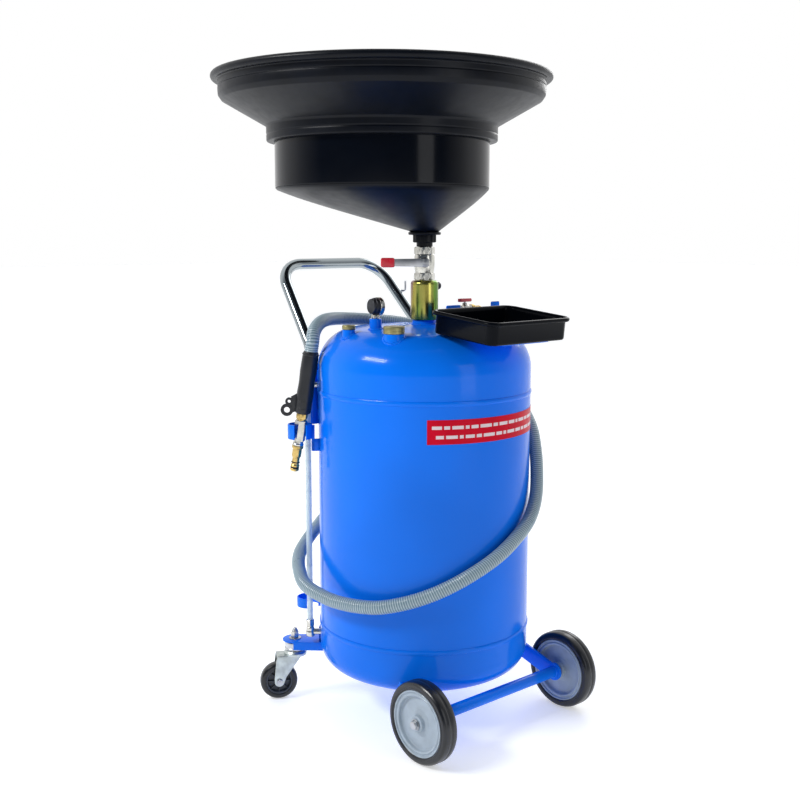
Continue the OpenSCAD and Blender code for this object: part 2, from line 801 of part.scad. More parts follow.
module caster_hub(side) {
    caster_axis(side) color("#3a3d42") rotate_extrude()
        polygon([[4 + run_fit, -12.5], [9, -12.5], [10, -6], [caster_rim - 5, -6],
            [caster_rim - 3, -11], [caster_rim, -11], [caster_rim, 11], [caster_rim - 3, 11],
            [caster_rim - 5, 6], [10, 6], [9, 12.5], [4 + run_fit, 12.5]]);
}

module caster_tyre(side) {
    caster_axis(side) color("#1c1c1e") rotate_extrude() union() {
        translate([caster_rim, -12]) square([6, 24]);
        translate([caster_rim, -7]) square([11, 14]);
        for (y = [-7, 7]) translate([caster_r - 5, y]) circle(r = 5, $fn = 32);
    }
}

module caster_fork_left() caster_fork(-1);
module caster_fork_right() caster_fork(1);
module caster_wheel_left() caster_hub(-1);
module caster_wheel_right() caster_hub(1);
module caster_tyre_left() caster_tyre(-1);
module caster_tyre_right() caster_tyre(1);

tank_shell();
tank_top_head();
tank_bottom_head();
top_sockets();
guide_sleeve();
column_bushes();
lock_screw();
column_tube();
valve_body();
valve_ball();
valve_lever();
lever_sleeve();
bowl_outlet();
union_nut();
bowl_cone();
bowl_drum();
bowl_funnel();
bowl_strainer();
filler_plug();
vent_plug();
gauge_case();
gauge_dial();
gauge_needle();
gauge_glass();
air_valve_body();
air_valve_handle();
air_nipple();
tray();
tray_bracket();
handle_tube();
handle_sockets();
handle_hook();
sight_tube();
sight_fittings();
holder_ring();
gun_clip();
label();
hose_fitting();
dip_tube();
suction_hose();
gun_grip();
gun_body();
gun_tip();
axle_arms();
axle_tube();
axle_rod();
axle_nuts();
wheel_hub_left();
wheel_hub_right();
wheel_tyre_left();
wheel_tyre_right();
caster_brackets();
king_bolts();
caster_fork_left();
caster_fork_right();
caster_wheel_left();
caster_wheel_right();
caster_tyre_left();
caster_tyre_right();
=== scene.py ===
import math

import bpy
import numpy as np
from mathutils import Matrix, Vector


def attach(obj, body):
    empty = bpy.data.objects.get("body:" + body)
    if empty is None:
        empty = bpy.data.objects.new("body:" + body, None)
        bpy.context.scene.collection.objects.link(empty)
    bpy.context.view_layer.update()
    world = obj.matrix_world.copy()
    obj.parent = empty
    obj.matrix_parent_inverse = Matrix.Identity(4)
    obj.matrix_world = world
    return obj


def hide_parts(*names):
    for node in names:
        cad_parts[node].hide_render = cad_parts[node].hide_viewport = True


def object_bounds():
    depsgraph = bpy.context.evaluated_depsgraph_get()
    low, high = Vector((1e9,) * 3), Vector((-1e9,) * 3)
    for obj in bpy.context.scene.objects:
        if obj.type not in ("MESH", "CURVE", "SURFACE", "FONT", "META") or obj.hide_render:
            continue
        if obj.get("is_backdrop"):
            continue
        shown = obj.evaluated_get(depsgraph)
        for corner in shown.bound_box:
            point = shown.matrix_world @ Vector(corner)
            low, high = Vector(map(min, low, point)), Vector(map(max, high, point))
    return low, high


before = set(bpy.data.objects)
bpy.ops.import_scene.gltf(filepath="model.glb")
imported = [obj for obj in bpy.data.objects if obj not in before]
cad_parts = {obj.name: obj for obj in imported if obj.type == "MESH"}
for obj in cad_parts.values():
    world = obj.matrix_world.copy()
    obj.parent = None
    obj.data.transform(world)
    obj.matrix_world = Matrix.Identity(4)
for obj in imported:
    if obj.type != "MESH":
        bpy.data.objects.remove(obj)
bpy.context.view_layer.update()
scene = bpy.context.scene

# ---- camera ----
# Eye height is below the bowl and above the tray, looking slightly down on the tank,
# from the side of the fixed wheels, the tool tray and the hanging grip.
camera = bpy.data.objects.new("camera", bpy.data.cameras.new("camera"))
scene.collection.objects.link(camera)
camera.location = (-1.4171, -1.6367, 0.928)
camera.rotation_euler = (math.radians(81.646), 0, math.radians(-41.645))
camera.data.lens = 50.84
camera.data.sensor_width = 36
scene.camera = camera

# ---- suction hose ----
# Soft clear PVC hose, 26 mm over its ribs, with a stiff white spiral moulded into the wall.
# It leaves the grip, crosses the shoulder and goes once round the tank to the rear elbow.
AXIS = np.array([0.060, -0.046, 0])


class Sock:
    """A shader socket that can be added, multiplied and powered like a number."""

    def __init__(self, finish, socket):
        self.finish, self.socket = finish, socket

    def math(self, how, other=0.0):
        return self.finish.node("Math", {0: self, 1: other}, operation=how)

    def __add__(self, other):
        return self.math("ADD", other)

    def __sub__(self, other):
        return self.math("SUBTRACT", other)

    def __mul__(self, other):
        return self.math("MULTIPLY", other)

    def __pow__(self, other):
        return self.math("POWER", other)

    def between(self, low, high):
        return self.finish.node(
            "MapRange", {"Value": self, "From Min": low, "From Max": high}
        )


class Finish:
    """One material: its node tree, its surface shader and object coordinates."""

    def __init__(self, name, color, rough=0.4, metal=0.0, coat=0.0):
        self.mat = bpy.data.materials.new(name)
        self.mat.use_nodes = True
        self.tree = self.mat.node_tree
        self.bsdf = self.tree.nodes["Principled BSDF"]
        self.color = (*color, 1)
        self.set("Base Color", self.color)
        self.set("Roughness", rough)
        self.set("Metallic", metal)
        self.set("Coat Weight", coat)
        self.set("Coat Roughness", 0.06)

    def set(self, name, value):
        if isinstance(value, Sock):
            self.tree.links.new(value.socket, self.bsdf.inputs[name])
        else:
            self.bsdf.inputs[name].default_value = value

    def node(self, kind, ins=None, out=0, **props):
        made = self.tree.nodes.new("ShaderNode" + kind)
        for key, value in props.items():
            setattr(made, key, value)
        for key, value in (ins or {}).items():
            if isinstance(value, Sock):
                self.tree.links.new(value.socket, made.inputs[key])
            else:
                made.inputs[key].default_value = value
        return Sock(self, made.outputs[out])

    def place(self):
        return self.node("TexCoord", out="Object")

    def noise(self, scale, detail=3.0, stretch=(1, 1, 1), rough=0.5):
        at = self.node("Mapping", {"Vector": self.place(), "Scale": stretch})
        return self.node(
            "TexNoise",
            {"Vector": at, "Scale": scale, "Detail": detail, "Roughness": rough},
        )

    def mix(self, part, low, high):
        return self.node(
            "Mix", {0: part, 6: low, 7: high}, out=2, data_type="RGBA"
        )

    def shades(self, part, low=0.8, high=1.15):
        c = self.color
        self.set(
            "Base Color",
            self.mix(
                part,
                (c[0] * low, c[1] * low, c[2] * low, 1),
                (min(c[0] * high, 1), min(c[1] * high, 1), min(c[2] * high, 1), 1),
            ),
        )

    def bump(self, height, depth, strength=0.5):
        self.set(
            "Normal",
            self.node(
                "Bump",
                {"Height": height, "Distance": depth, "Strength": strength},
            ),
        )

    def worn(self, scale, low, high, rough, grain=0.0, depth=0.0002):
        """Uneven tone and gloss, and a fine grain in the surface."""
        broad = self.noise(scale)
        self.shades(broad.between(0.3, 0.7), low, high)
        self.set("Roughness", self.noise(scale * 3) * (rough * 0.5) + rough * 0.75)
        if grain:
            self.bump(self.noise(grain, 2.0), depth, 0.35)
        return self


def loft(rings, wrap=False, ends=True):
    """A skin over rings of equally many points."""
    rings = np.array(rings, float)
    m, n, _ = rings.shape
    faces = []
    for i in range(m if wrap else m - 1):
        j = (i + 1) % m
        faces += [
            (i * n + k, i * n + (k + 1) % n, j * n + (k + 1) % n, j * n + k)
            for k in range(n)
        ]
    if ends and not wrap:
        faces += [tuple(range(n - 1, -1, -1)), tuple((m - 1) * n + k for k in range(n))]
    return rings.reshape(-1, 3), faces


def tube(line, radius, n=20):
    """A tube along a line of points; radius is one number, one per point, or one per vertex."""
    line = np.array(line, float)
    ahead = np.gradient(line, axis=0)
    ahead /= np.linalg.norm(ahead, axis=1)[:, None]
    side = np.cross(ahead[0], [0.3, 0.9, 1.0])
    turn = 2 * np.pi * np.arange(n) / n
    radius = np.broadcast_to(
        np.array(radius, float).reshape(-1, 1) if np.ndim(radius) == 1 else radius,
        (len(line), n),
    )
    rings = []
    for p, t, r in zip(line, ahead, radius):
        side = side - t * (side @ t)
        side /= np.linalg.norm(side)
        up = np.cross(t, side)
        rings.append(p + (np.outer(np.cos(turn), side) + np.outer(np.sin(turn), up)) * r[:, None])
    return loft(rings)


def moved(shape, *steps):
    """The shape after each step in turn."""
    points = np.array(shape[0], float)
    for step in steps:
        m = np.array(step)
        points = points @ m[:3, :3].T + m[:3, 3]
    return points, shape[1]


def to(x, y, z):
    return Matrix.Translation((x, y, z))


def turned(axis, angle):
    return Matrix.Rotation(math.radians(angle), 4, axis)


def piece(name, parts, body, nodes=(), sharp=32):
    """Joins shapes, each with its finish, into one object that rides on a body."""
    points, faces, marks, mats = [], [], [], []
    count = 0
    for (v, f), finish in parts:
        if finish.mat not in mats:
            mats.append(finish.mat)
        points.append(np.array(v) / 1000 + AXIS)
        faces += [tuple(i + count for i in face) for face in f]
        marks += [mats.index(finish.mat)] * len(f)
        count += len(v)
    mesh = bpy.data.meshes.new(name)
    mesh.from_pydata(np.vstack(points).tolist(), [], faces)
    for mat in mats:
        mesh.materials.append(mat)
    mesh.polygons.foreach_set("material_index", marks)
    mesh.shade_smooth()
    mesh.set_sharp_from_angle(angle=math.radians(sharp))
    made = bpy.data.objects.new(name, mesh)
    scene.collection.objects.link(made)
    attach(made, body)
    if nodes:
        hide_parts(*nodes)
    return made


hose_r = 13
hose_route = np.array(
    [
        [-205.9, 114.2, 606.3], [-201.2, 106.8, 660.6], [-197, 100, 710], [-195, 98, 727],
        [-188, 104, 743], [-174, 112, 755], [-155, 122, 762],
        [-128, 140, 764], [-98, 160, 763], [-65, 178, 761], [-38, 185, 759], [0, 190, 756],
        [38, 188, 752], [75, 177, 748], [107.5, 159, 742], [142, 138.5, 733.5], [178, 112, 716],
        [198, 89, 697], [214, 53, 668], [220, 2, 632], [215, -43, 598], [194, -103, 551],
        [173, -136, 508], [150, -161, 466], [123, -183, 431], [89, -202, 404], [49, -215, 382],
        [-19, -220, 348], [-89, -202, 314], [-144, -167, 286], [-187, -122, 267], [-214, -77, 259],
        [-235, -8, 259], [-241, 64, 271], [-217, 120, 286], [-182, 166, 299], [-142, 196, 313],
        [-100, 216, 331], [-61, 228, 354], [-29, 233, 382], [0, 234, 411],
    ],
    float,
)


def spline(points, step):
    """A smooth line through the points, walked in even steps."""
    p = np.vstack([2 * points[0] - points[1], points, 2 * points[-1] - points[-2]])
    t = np.linspace(0, 1, 40, endpoint=False)[:, None]
    line = []
    for a, b, c, d in zip(p[:-3], p[1:-2], p[2:-1], p[3:]):
        line.append(
            0.5 * (
                2 * b + (c - a) * t + (2 * a - 5 * b + 4 * c - d) * t**2 + (3 * b - a - 3 * c + d) * t**3
            )
        )
    line = np.vstack([*line, points[-1:]])
    gone = np.r_[0, np.cumsum(np.linalg.norm(np.diff(line, axis=0), axis=1))]
    even = np.linspace(0, gone[-1], int(gone[-1] / step) + 1)
    return np.stack([np.interp(even, gone, line[:, k]) for k in range(3)], 1), gone[-1]


rib_pitch = 4.4
hose_line, hose_length = spline(hose_route, rib_pitch / 5)
hose_sides = 18
turns = np.arange(len(hose_line))[:, None] / 5 - np.arange(hose_sides)[None, :] / hose_sides
ribs = (0.5 + 0.5 * np.cos(2 * np.pi * turns)) ** 1.6
# The hose colours hold a painted reflection: their blue-grey tint stands in for the blue tank seen in and
# through the clear wall. The lighter rib colour is the white spiral.
hose_pvc = Finish("hose_pvc", (0.34, 0.455, 0.53), 0.26, coat=0.3)
rib = hose_pvc.node("Attribute", out="Fac", attribute_name="rib")
hose_pvc.set("Base Color", hose_pvc.mix(rib, (0.11, 0.185, 0.235, 1), (0.42, 0.52, 0.57, 1)))
hose_pvc.set("Roughness", hose_pvc.noise(40) * 0.15 + 0.22)
hose = piece(
    "hose",
    [(tube(hose_line, hose_r - 0.85 + 0.85 * ribs, hose_sides), hose_pvc)],
    "root",
    ["suction_hose"],
    sharp=75,
)
hose.data.attributes.new("rib", "FLOAT", "POINT").data.foreach_set("value", ribs.ravel())

# ---- hand grip and probe coupling ----
# Moulded black grip with a hanging ear, a brass gland nut, a nickel-plated hexagon body
# and a brass quick coupling with two rubber rings; all screwed together on one axis.


def soft(outline, size, closed=False, n=3):
    """The outline with each clear corner rounded."""
    p = [np.array(q, float) for q in outline]
    out = []
    for i, q in enumerate(p):
        if not closed and i in (0, len(p) - 1):
            out.append(q)
            continue
        u, v = p[i - 1] - q, p[(i + 1) % len(p)] - q
        lu, lv = np.linalg.norm(u), np.linalg.norm(v)
        if min(lu, lv) < 1e-6 or u @ v / lu / lv < -0.95:
            out.append(q)
            continue
        d = min(size, 0.45 * lu, 0.45 * lv)
        s, e = q + u / lu * d, q + v / lv * d
        out += [(1 - t) ** 2 * s + 2 * t * (1 - t) * q + t * t * e for t in np.linspace(0, 1, n + 1)]
    return out


def lathe(outline, n=64, size=0.6, wrap=False, knurl=None):
    """Turns an outline of (radius, height) about the upright axis."""
    a = 2 * np.pi * np.arange(n) / n
    rings = []
    for r, z in soft(outline, size, wrap):
        r = np.full(n, max(r, 0.02))
        if knurl and r[0] > knurl[2]:
            r = r - knurl[1] * (0.5 - 0.5 * np.cos(a * knurl[0]))
        rings.append(np.stack([r * np.cos(a), r * np.sin(a), np.full(n, z)], 1))
    return loft(rings, wrap)


def slab(outline, low, high, size=0.8):
    """A plate with rounded edges, cut to a flat outline given counter-clockwise."""
    p = np.array(outline, float)
    before, after = p - np.roll(p, 1, 0), np.roll(p, -1, 0) - p
    nb = np.stack([before[:, 1], -before[:, 0]], 1) / np.linalg.norm(before, axis=1)[:, None]
    na = np.stack([after[:, 1], -after[:, 0]], 1) / np.linalg.norm(after, axis=1)[:, None]
    out = nb + na
    out = out / np.maximum((out * nb).sum(1), 0.35)[:, None]
    size = min(size, (high - low) * 0.49)
    steps = [(math.sin(t), math.cos(t)) for t in np.linspace(0, np.pi / 2, 4)]
    rings = [(1 - s, low + size * (1 - c)) for s, c in steps] + [
        (1 - s, high - size * (1 - c))
        for s, c in steps[::-1]
    ]
    return loft([np.c_[p - out * (inset * size), np.full(len(p), z)] for inset, z in rings])


def hexagon(r, low, high, chamfer=1.0):
    """A hexagon nut or body with turned chamfers; r is over the corners."""
    a = np.radians(np.arange(0, 360, 5))
    flat = r * math.cos(math.pi / 6) / np.cos((a + np.pi / 6) % (np.pi / 3) - np.pi / 6)
    rings = []
    for cut, z in ((chamfer * 1.9, low), (0, low + chamfer), (0, high - chamfer), (chamfer * 1.9, high)):
        q = np.minimum(flat, r - cut)
        rings.append(np.stack([q * np.cos(a), q * np.sin(a), np.full(len(a), z)], 1))
    return loft(rings)


def rod(start, end, r, n=24):
    """A straight round bar with rounded ends between two points."""
    start, end = np.array(start, float), np.array(end, float)
    long = np.linalg.norm(end - start)
    z = (end - start) / long
    x = np.cross([0.31, 0.52, 0.8], z)
    x /= np.linalg.norm(x)
    y = np.cross(z, x)
    aim = np.eye(4)
    aim[:3, 0], aim[:3, 1], aim[:3, 2], aim[:3, 3] = x, y, z, start
    return moved(lathe([(0, 0), (r, 0), (r, long), (0, long)], n, min(0.8, r / 3)), aim)


grip_plastic = Finish("grip_plastic", (0.005, 0.006, 0.009), 0.36).worn(60, 0.7, 1.4, 0.36, 900, 0.00008)
nickel = Finish("nickel", (0.62, 0.61, 0.56), 0.2, 1.0).worn(70, 0.75, 1.15, 0.24, 500, 0.00005)
brass = Finish("brass", (0.66, 0.47, 0.17), 0.25, 1.0).worn(80, 0.7, 1.15, 0.28, 600, 0.00005)
rubber = Finish("tyre_rubber", (0.004, 0.005, 0.008), 0.3, coat=0.1).worn(45, 0.7, 1.5, 0.3, 700, 0.00008)

down_grip = (to(0, 0, 0), turned("Y", -9.2), turned("Z", 122), to(-197, 100, 710))


def on_grip(shape, drop, *steps):
    """Places a shape on the grip's axis, that far below its upper end."""
    return moved(shape, *steps, to(0, 0, -drop), *down_grip)


grip_outline = [
    (0, 0), (13.5, 0), (15.6, 3), (15.9, 40), (15.0, 60), (15.9, 82), (15.4, 108), (14.2, 118),
    (13.2, 120), (0, 120),
]
ear = [
    moved(lathe([(5.6, -2.4), (12, -2.4), (12, 2.4), (5.6, 2.4)], 40, 0.9, True), to(30, 12, 0)),
    moved(lathe([(3, -2.4), (7.5, -2.4), (7.5, 2.4), (3, 2.4)], 32, 0.9, True), to(28, 29, 0)),
    slab(
        [(13, 12), (19.5, 8), (24, 20), (24.5, 27), (22.5, 33), (26, 38.5), (16, 46), (13, 46)],
        -2.3,
        2.3,
    ),
]
grip = piece(
    "grip",
    [(on_grip(lathe(grip_outline, 48, 1.2), 120), grip_plastic)]
    + [(on_grip(e, 130, turned("X", 90), turned("Z", 16.6)), grip_plastic) for e in ear]
    + [
        (on_grip(lathe([(14.6, 0), (16, 0.6), (16, 3.4), (14.6, 4)], 48, 0.5, True), d), grip_plastic)
        for d in (8, 98, 112)
    ],
    "root",
    ["gun_grip"],
)
probe_body = piece(
    "probe_body",
    [
        (on_grip(hexagon(11, 0, 11), 131), brass),
        (on_grip(lathe([(0, 0), (9.5, 0), (9.5, 2.5), (0, 2.5)], 40), 133), brass),
        (on_grip(hexagon(12, 8, 50, 1.4), 183), nickel),
        (on_grip(lathe([(0, 0), (10.4, 0), (10.9, 3), (9.6, 5), (9.6, 8.5), (0, 8.5)], 48), 183), nickel),
    ],
    "root",
    ["gun_body"],
)
tip_outline = [
    (0, 0), (6.6, 0), (7.6, 1.2), (8.5, 2.4), (8.5, 5), (7, 6), (7, 8), (8.5, 9), (8.5, 12), (7, 14),
    (7, 26), (9, 30), (9, 44), (10.8, 46), (10.8, 51), (0, 51),
]
seal = lathe([(6.6, -1.1), (8.4, -1.1), (8.4, 1.1), (6.6, 1.1)], 40, 0.8, True)
probe_tip = piece(
    "probe_tip",
    [(on_grip(lathe(tip_outline, 48, 0.5), 234), brass)]
    + [(on_grip(moved(seal, to(0, 0, z)), 234), rubber) for z in (7, 17.5)],
    "root",
    ["gun_tip"],
)

# ---- tank ----
# Pressed steel ends welded to a rolled shell, with a raised bead on both seams;
# the whole vessel is dipped and sprayed in one glossy blue enamel.
blue = Finish("blue_paint", (0.002, 0.165, 0.84), 0.2, coat=0.14)
blue.set("Specular IOR Level", 0.1)
blue.shades(blue.noise(3.2, 2.0).between(0.3, 0.7), 0.86, 1.12)
blue.set("Roughness", blue.noise(26, 2.0) * 0.08 + 0.15)
blue.bump(blue.noise(190, 1.0), 0.0002, 0.045)


tank_r, low_seam, top_seam, wall, mouth_r = 205, 173, 631, 3, 23


def dish(top, crown, knuckle, inset=0.0):
    """Radius and height of a dished end above its seam, from the middle to the wall."""
    c, r = top - crown, tank_r - knuckle
    k = c + math.sqrt((crown - knuckle) ** 2 - r**2)
    turn = math.atan2(k - c, r)
    dome = [
        ((crown - inset) * math.cos(a), c + (crown - inset) * math.sin(a))
        for a in np.linspace(np.pi / 2, turn, 14)
    ]
    edge = [
        (r + (knuckle - inset) * math.cos(a), k + (knuckle - inset) * math.sin(a))
        for a in np.linspace(turn, 0, 22)
    ]
    return dome + edge[1:]


def bead(z, rise=1.9, wide=4.6):
    """The rounded weld that stands out of the shell at a seam."""
    return [
        (tank_r + rise * math.cos(a), z + wide * math.sin(a))
        for a in np.linspace(-np.pi / 2, np.pi / 2, 9)
    ]


low_out = [(r, low_seam - z) for r, z in dish(124, 410, 45)]
top_out = [(r, top_seam + z) for r, z in dish(126, 1376, 74)][::-1]
low_in = [(r, low_seam - z) for r, z in dish(124, 410, 45, wall)][::-1]
top_in = [(max(r, mouth_r), top_seam + z) for r, z in dish(126, 1376, 74, wall)]
skin = low_out + bead(low_seam) + bead(top_seam) + [
    (max(r, mouth_r), z)
    for r, z in top_out
] + top_in + low_in
piece(
    "tank",
    [(lathe(skin, 160, 0), blue)],
    "root",
    ["tank_shell", "tank_top_head", "tank_bottom_head"],
    sharp=40,
)


def on_dome(x, y):
    """Height of the top end's outer face."""
    r = math.hypot(x, y)
    profile = np.array(top_out)[::-1]
    return float(np.interp(r, profile[:, 0], profile[:, 1]))


def weld(line, r=1.8, n=10):
    """A closed fillet of weld metal along a line of points, with its ripples."""
    line = np.array(line, float)
    ahead = np.roll(line, -1, 0) - np.roll(line, 1, 0)
    ahead /= np.linalg.norm(ahead, axis=1)[:, None]
    side = np.cross(ahead, [0, 0.02, 1.0])
    side /= np.linalg.norm(side, axis=1)[:, None]
    up = np.cross(side, ahead)
    a = 2 * np.pi * np.arange(n) / n
    size = r * (1 + 0.12 * np.cos(np.arange(len(line)) * 1.9))
    rings = [
        p + s * (np.outer(np.cos(a), d) + np.outer(np.sin(a), u))
        for p, d, u, s in zip(line, side, up, size)
    ]
    return loft([q[::-1] for q in rings], wrap=True)


# ---- welded sockets on the top end ----
# Short turned steel sockets let into holes in the dome and welded round their foot:
# column, oil filler, vent, pressure gauge and air valve. Painted with the tank.
sockets = []
for x, y, r, bore, top in (
    (0, 0, 23, 18.5, 766), (-142, -73, 18.5, 14, 751), (-160, 33, 11.5, 7, 753), (-111, 14, 11.5, 5, 772),
    (119, 10, 10, 5, 760),
):
    sockets.append(
        (moved(lathe([(bore, 702), (r, 702), (r, top), (bore, top)], 64, 0.8, True), to(x, y, 0)), blue)
    )
    foot = [
        (x + r * math.cos(a), y + r * math.sin(a))
        for a in np.linspace(0, 2 * np.pi, 72, endpoint=False)
    ]
    sockets.append((weld([(u, v, on_dome(u, v)) for u, v in foot], 2.6), blue))
piece("top_sockets_welded", sockets, "root", ["top_sockets"], sharp=40)

# ---- filler plug and vent plug ----
# Turned brass caps that have gone dull, each on a rubber ring, screwed into their sockets.
dull_brass = Finish("brass_plug", (0.30, 0.27, 0.12), 0.4, 0.75).worn(60, 0.65, 1.3, 0.42, 500, 0.00008)
cap = [
    (0, -4), (13.5, -4), (13.5, 0), (18.6, 0), (19.5, 1), (19.5, 5.2), (18.9, 5.9), (19.5, 6.6),
    (19.5, 12), (18.2, 13.5), (15, 13.1), (0, 12.9),
]
piece(
    "filler_cap",
    [(moved(lathe(cap, 96, 0.5, knurl=(72, 0.25, 19.3)), to(-142, -73, 751.3)), dull_brass)],
    "filler_plug",
    ["filler_plug"],
)
cap = [(0, -4), (6.8, -4), (6.8, 0), (11.4, 0), (12.5, 0.8), (12.5, 6.6), (11.4, 8), (0, 7.8)]
piece(
    "vent_cap",
    [
        (moved(lathe(cap, 72, 0.6), to(-160, 33, 753.3)), dull_brass),
        (moved(lathe([(0, 7), (3.4, 7), (3.4, 8.8), (0, 8.8)], 32, 0.6), to(-160, 33, 753.3)), dull_brass),
    ],
    "vent_plug",
    ["vent_plug"],
)

# ---- guide sleeve and lock screw ----
# Machined steel sleeve screwed onto the column socket, yellow-passivated zinc with its
# rainbow cast; a black thumb screw clamps the drain tube at the chosen height.
passivated = Finish("yellow_zinc", (0.42, 0.43, 0.13), 0.22, 1.0)
film = passivated.noise(26, 1.0, (1, 1, 0.06)) * 1.5 + passivated.noise(90, 2.0, (1, 1, 0.1)) * 0.2
tint = passivated.node("ValToRGB", {"Fac": film.between(0.6, 1.1)})
stops = tint.socket.node.color_ramp.elements
stops[0].position, stops[0].color = 0.0, (0.26, 0.15, 0.16, 1)
stops[1].position, stops[1].color = 1.0, (0.02, 0.07, 0.02, 1)
for at, shade in (
    (0.25, (0.40, 0.34, 0.07, 1)), (0.5, (0.50, 0.46, 0.12, 1)), (0.75, (0.15, 0.28, 0.05, 1)),
):
    stop = stops.new(at)
    stop.color = shade
passivated.set("Base Color", tint)
sleeve_outline = [(14.6, 766), (26.1, 766), (26.5, 768)]
sleeve_outline += [(26.5, 800), (26.5, 832)]
sleeve_outline += [(19.5 + 7 * math.cos(a), 834 + 7 * math.sin(a)) for a in np.linspace(0, np.pi / 2, 8)]
sleeve_outline += [(14.6, 841)]
piece(
    "guide_sleeve_turned",
    [(lathe(sleeve_outline, 96, 0.5, True), passivated)],
    "root",
    ["guide_sleeve"],
)
dark = Finish("dark_steel", (0.045, 0.047, 0.052), 0.38, 0.85).worn(50, 0.7, 1.4, 0.4, 500, 0.00006)
out_screw = (turned("Y", 90), turned("Z", 5), to(0, 0, 829))
piece(
    "lock_thumb_screw",
    [
        (moved(lathe([(0, 27.2), (4, 27.2), (4, 34), (0, 34)], 32, 0.4), *out_screw), dark),
        (
            moved(
                lathe(
                    [(0, 33), (6.4, 33), (7.5, 34), (7.5, 40.4), (6.2, 41.5), (0, 41.5)],
                    72,
                    0.5,
                    knurl=(24, 0.5, 7),
                ),
                *out_screw,
            ),
            dark,
        ),
    ],
    "lock_screw",
    ["lock_screw"],
)

# ---- drain column and ball valve ----
# Zinc-plated tube that slides in the sleeve, with a full-bore ball valve screwed on top:
# nickel-plated body between two hexagons, steel lever with a dipped red grip.
lever_way, ball_z = 228.6, 875
steel = Finish("steel", (0.52, 0.53, 0.55), 0.28, 1.0).worn(55, 0.78, 1.12, 0.32, 600, 0.00006)
piece(
    "drain_column",
    [
        (
            lathe(
                [(10.9, 110), (17.5, 110), (17.5, 125), (13.5, 125), (13.5, 852), (10.9, 852)],
                64,
                0.6,
                True,
            ),
            steel,
        ),
        (hexagon(20.5, 841.6, 855, 1.3), nickel),
        (
            lathe(
                [
                    (14, 854), (17.4, 854), (17.9, 858), (19.2, 864), (19.6, 875), (19.2, 886),
                    (17.6, 891), (14, 891),
                ],
                64,
                1.2,
                True,
            ),
            nickel,
        ),
        (hexagon(20.2, 889.5, 904, 1.3), nickel),
        (
            moved(
                lathe([(4.1, 14), (9.5, 14), (9.5, 20), (7.6, 22), (7.6, 26), (4.1, 26)], 40, 0.7, True),
                turned("Y", 90),
                turned("Z", lever_way),
                to(0, 0, ball_z),
            ),
            nickel,
        ),
    ],
    "column",
    ["column_tube", "valve_body"],
)
red = Finish("red_plastic", (0.60, 0.012, 0.03), 0.28, coat=0.4).worn(50, 0.8, 1.15, 0.3, 400, 0.00008)
across = (turned("Z", lever_way), to(0, 0, ball_z))
bar = [(-81, -6.6), (-81, 6.6), (-6, 7.5), (2, 8), (8, 6), (8, -6), (2, -8), (-6, -7.5)][::-1]
lever_up = (turned("Z", 90), turned("Y", 90), to(32, 0, 0))
piece(
    "valve_lever_bar",
    [
        (moved(slab(bar, 0, 3, 0.7), *lever_up, *across), steel),
        (moved(rod((14.6, 0, 0), (31.5, 0, 0), 4), *across), steel),
        (moved(hexagon(6.8, 35, 39.5, 0.7), turned("Y", 90), *across), steel),
        (moved(rod((35, 0, 0), (41.5, 0, 0), 3.2), *across), steel),
    ],
    "valve_lever",
    ["valve_lever"],
)
grip_shape = soft([(-83, -9), (-57, -9), (-57, 9), (-83, 9)], 3.5, True)
piece(
    "lever_grip",
    [(moved(slab(grip_shape, -2, 5, 2), *lever_up, *across), red)],
    "valve_lever",
    ["lever_sleeve"],
)

# ---- catching bowl ----
# Black polyethylene: an oblique cone welded to a deep drum, and a wide splash funnel whose
# collar grips the drum. The rim is rolled outward; a groove runs round the rim wall.
black = Finish("black_plastic", (0.0010, 0.0018, 0.0042), 0.12, coat=0.02)
black.set("Specular IOR Level", 0.16)
black.shades(black.noise(12, 2.0), 0.7, 1.5)
black.set("Roughness", black.noise(30, 3.0) * 0.1 + 0.09)
black.bump(black.noise(260, 1.5), 0.0002, 0.05)
satin = Finish(
    "black_satin", (0.0016, 0.0026, 0.0055), 0.34, coat=0.02,
).worn(20, 0.75, 1.4, 0.36, 420, 0.00008)
satin.set("Specular IOR Level", 0.15)
over_bowl = to(-60, 53, 0)
drum = lathe(
    [
        (186, 1014), (200.6, 1014), (201.5, 1016), (201.5, 1092), (201.5, 1125), (197.5, 1125),
        (197.5, 1017.4), (187, 1017),
    ],
    160,
    0.8,
    True,
)
funnel_outline = [
    (201.8, 1098), (215, 1098), (216.3, 1100), (216.5, 1109),
    (215.6, 1111), (216.5, 1113), (216.5, 1124), (219, 1127.5),
    (298, 1172), (303.4, 1180), (304, 1188), (304, 1193.5),
    (302.8, 1195), (304, 1196.5), (304, 1205), (306, 1206.5),
]
funnel_outline += [(310 + 6.9 * math.cos(a), 1213 + 6.9 * math.sin(a)) for a in np.linspace(-1.75, 1.9, 18)]
funnel_outline += [
    (303.5, 1219), (300.4, 1216), (300, 1189), (297, 1178), (214, 1131), (198, 1128), (198, 1125.2),
    (201.8, 1125.2),
]
funnel = lathe(funnel_outline, 192, 1.2, True)
ring_n = 120
ring_a = 2 * np.pi * np.arange(ring_n) / ring_n


def bowl_ring(part, inset, z):
    """One level of the oblique cone, from the outlet at 0 to the drum at 1."""
    r = 27 + (201.5 - 27) * part - inset
    return np.stack(
        [-60 * part + r * np.cos(ring_a), 53 * part + r * np.sin(ring_a), np.full(ring_n, z)],
        1,
    )


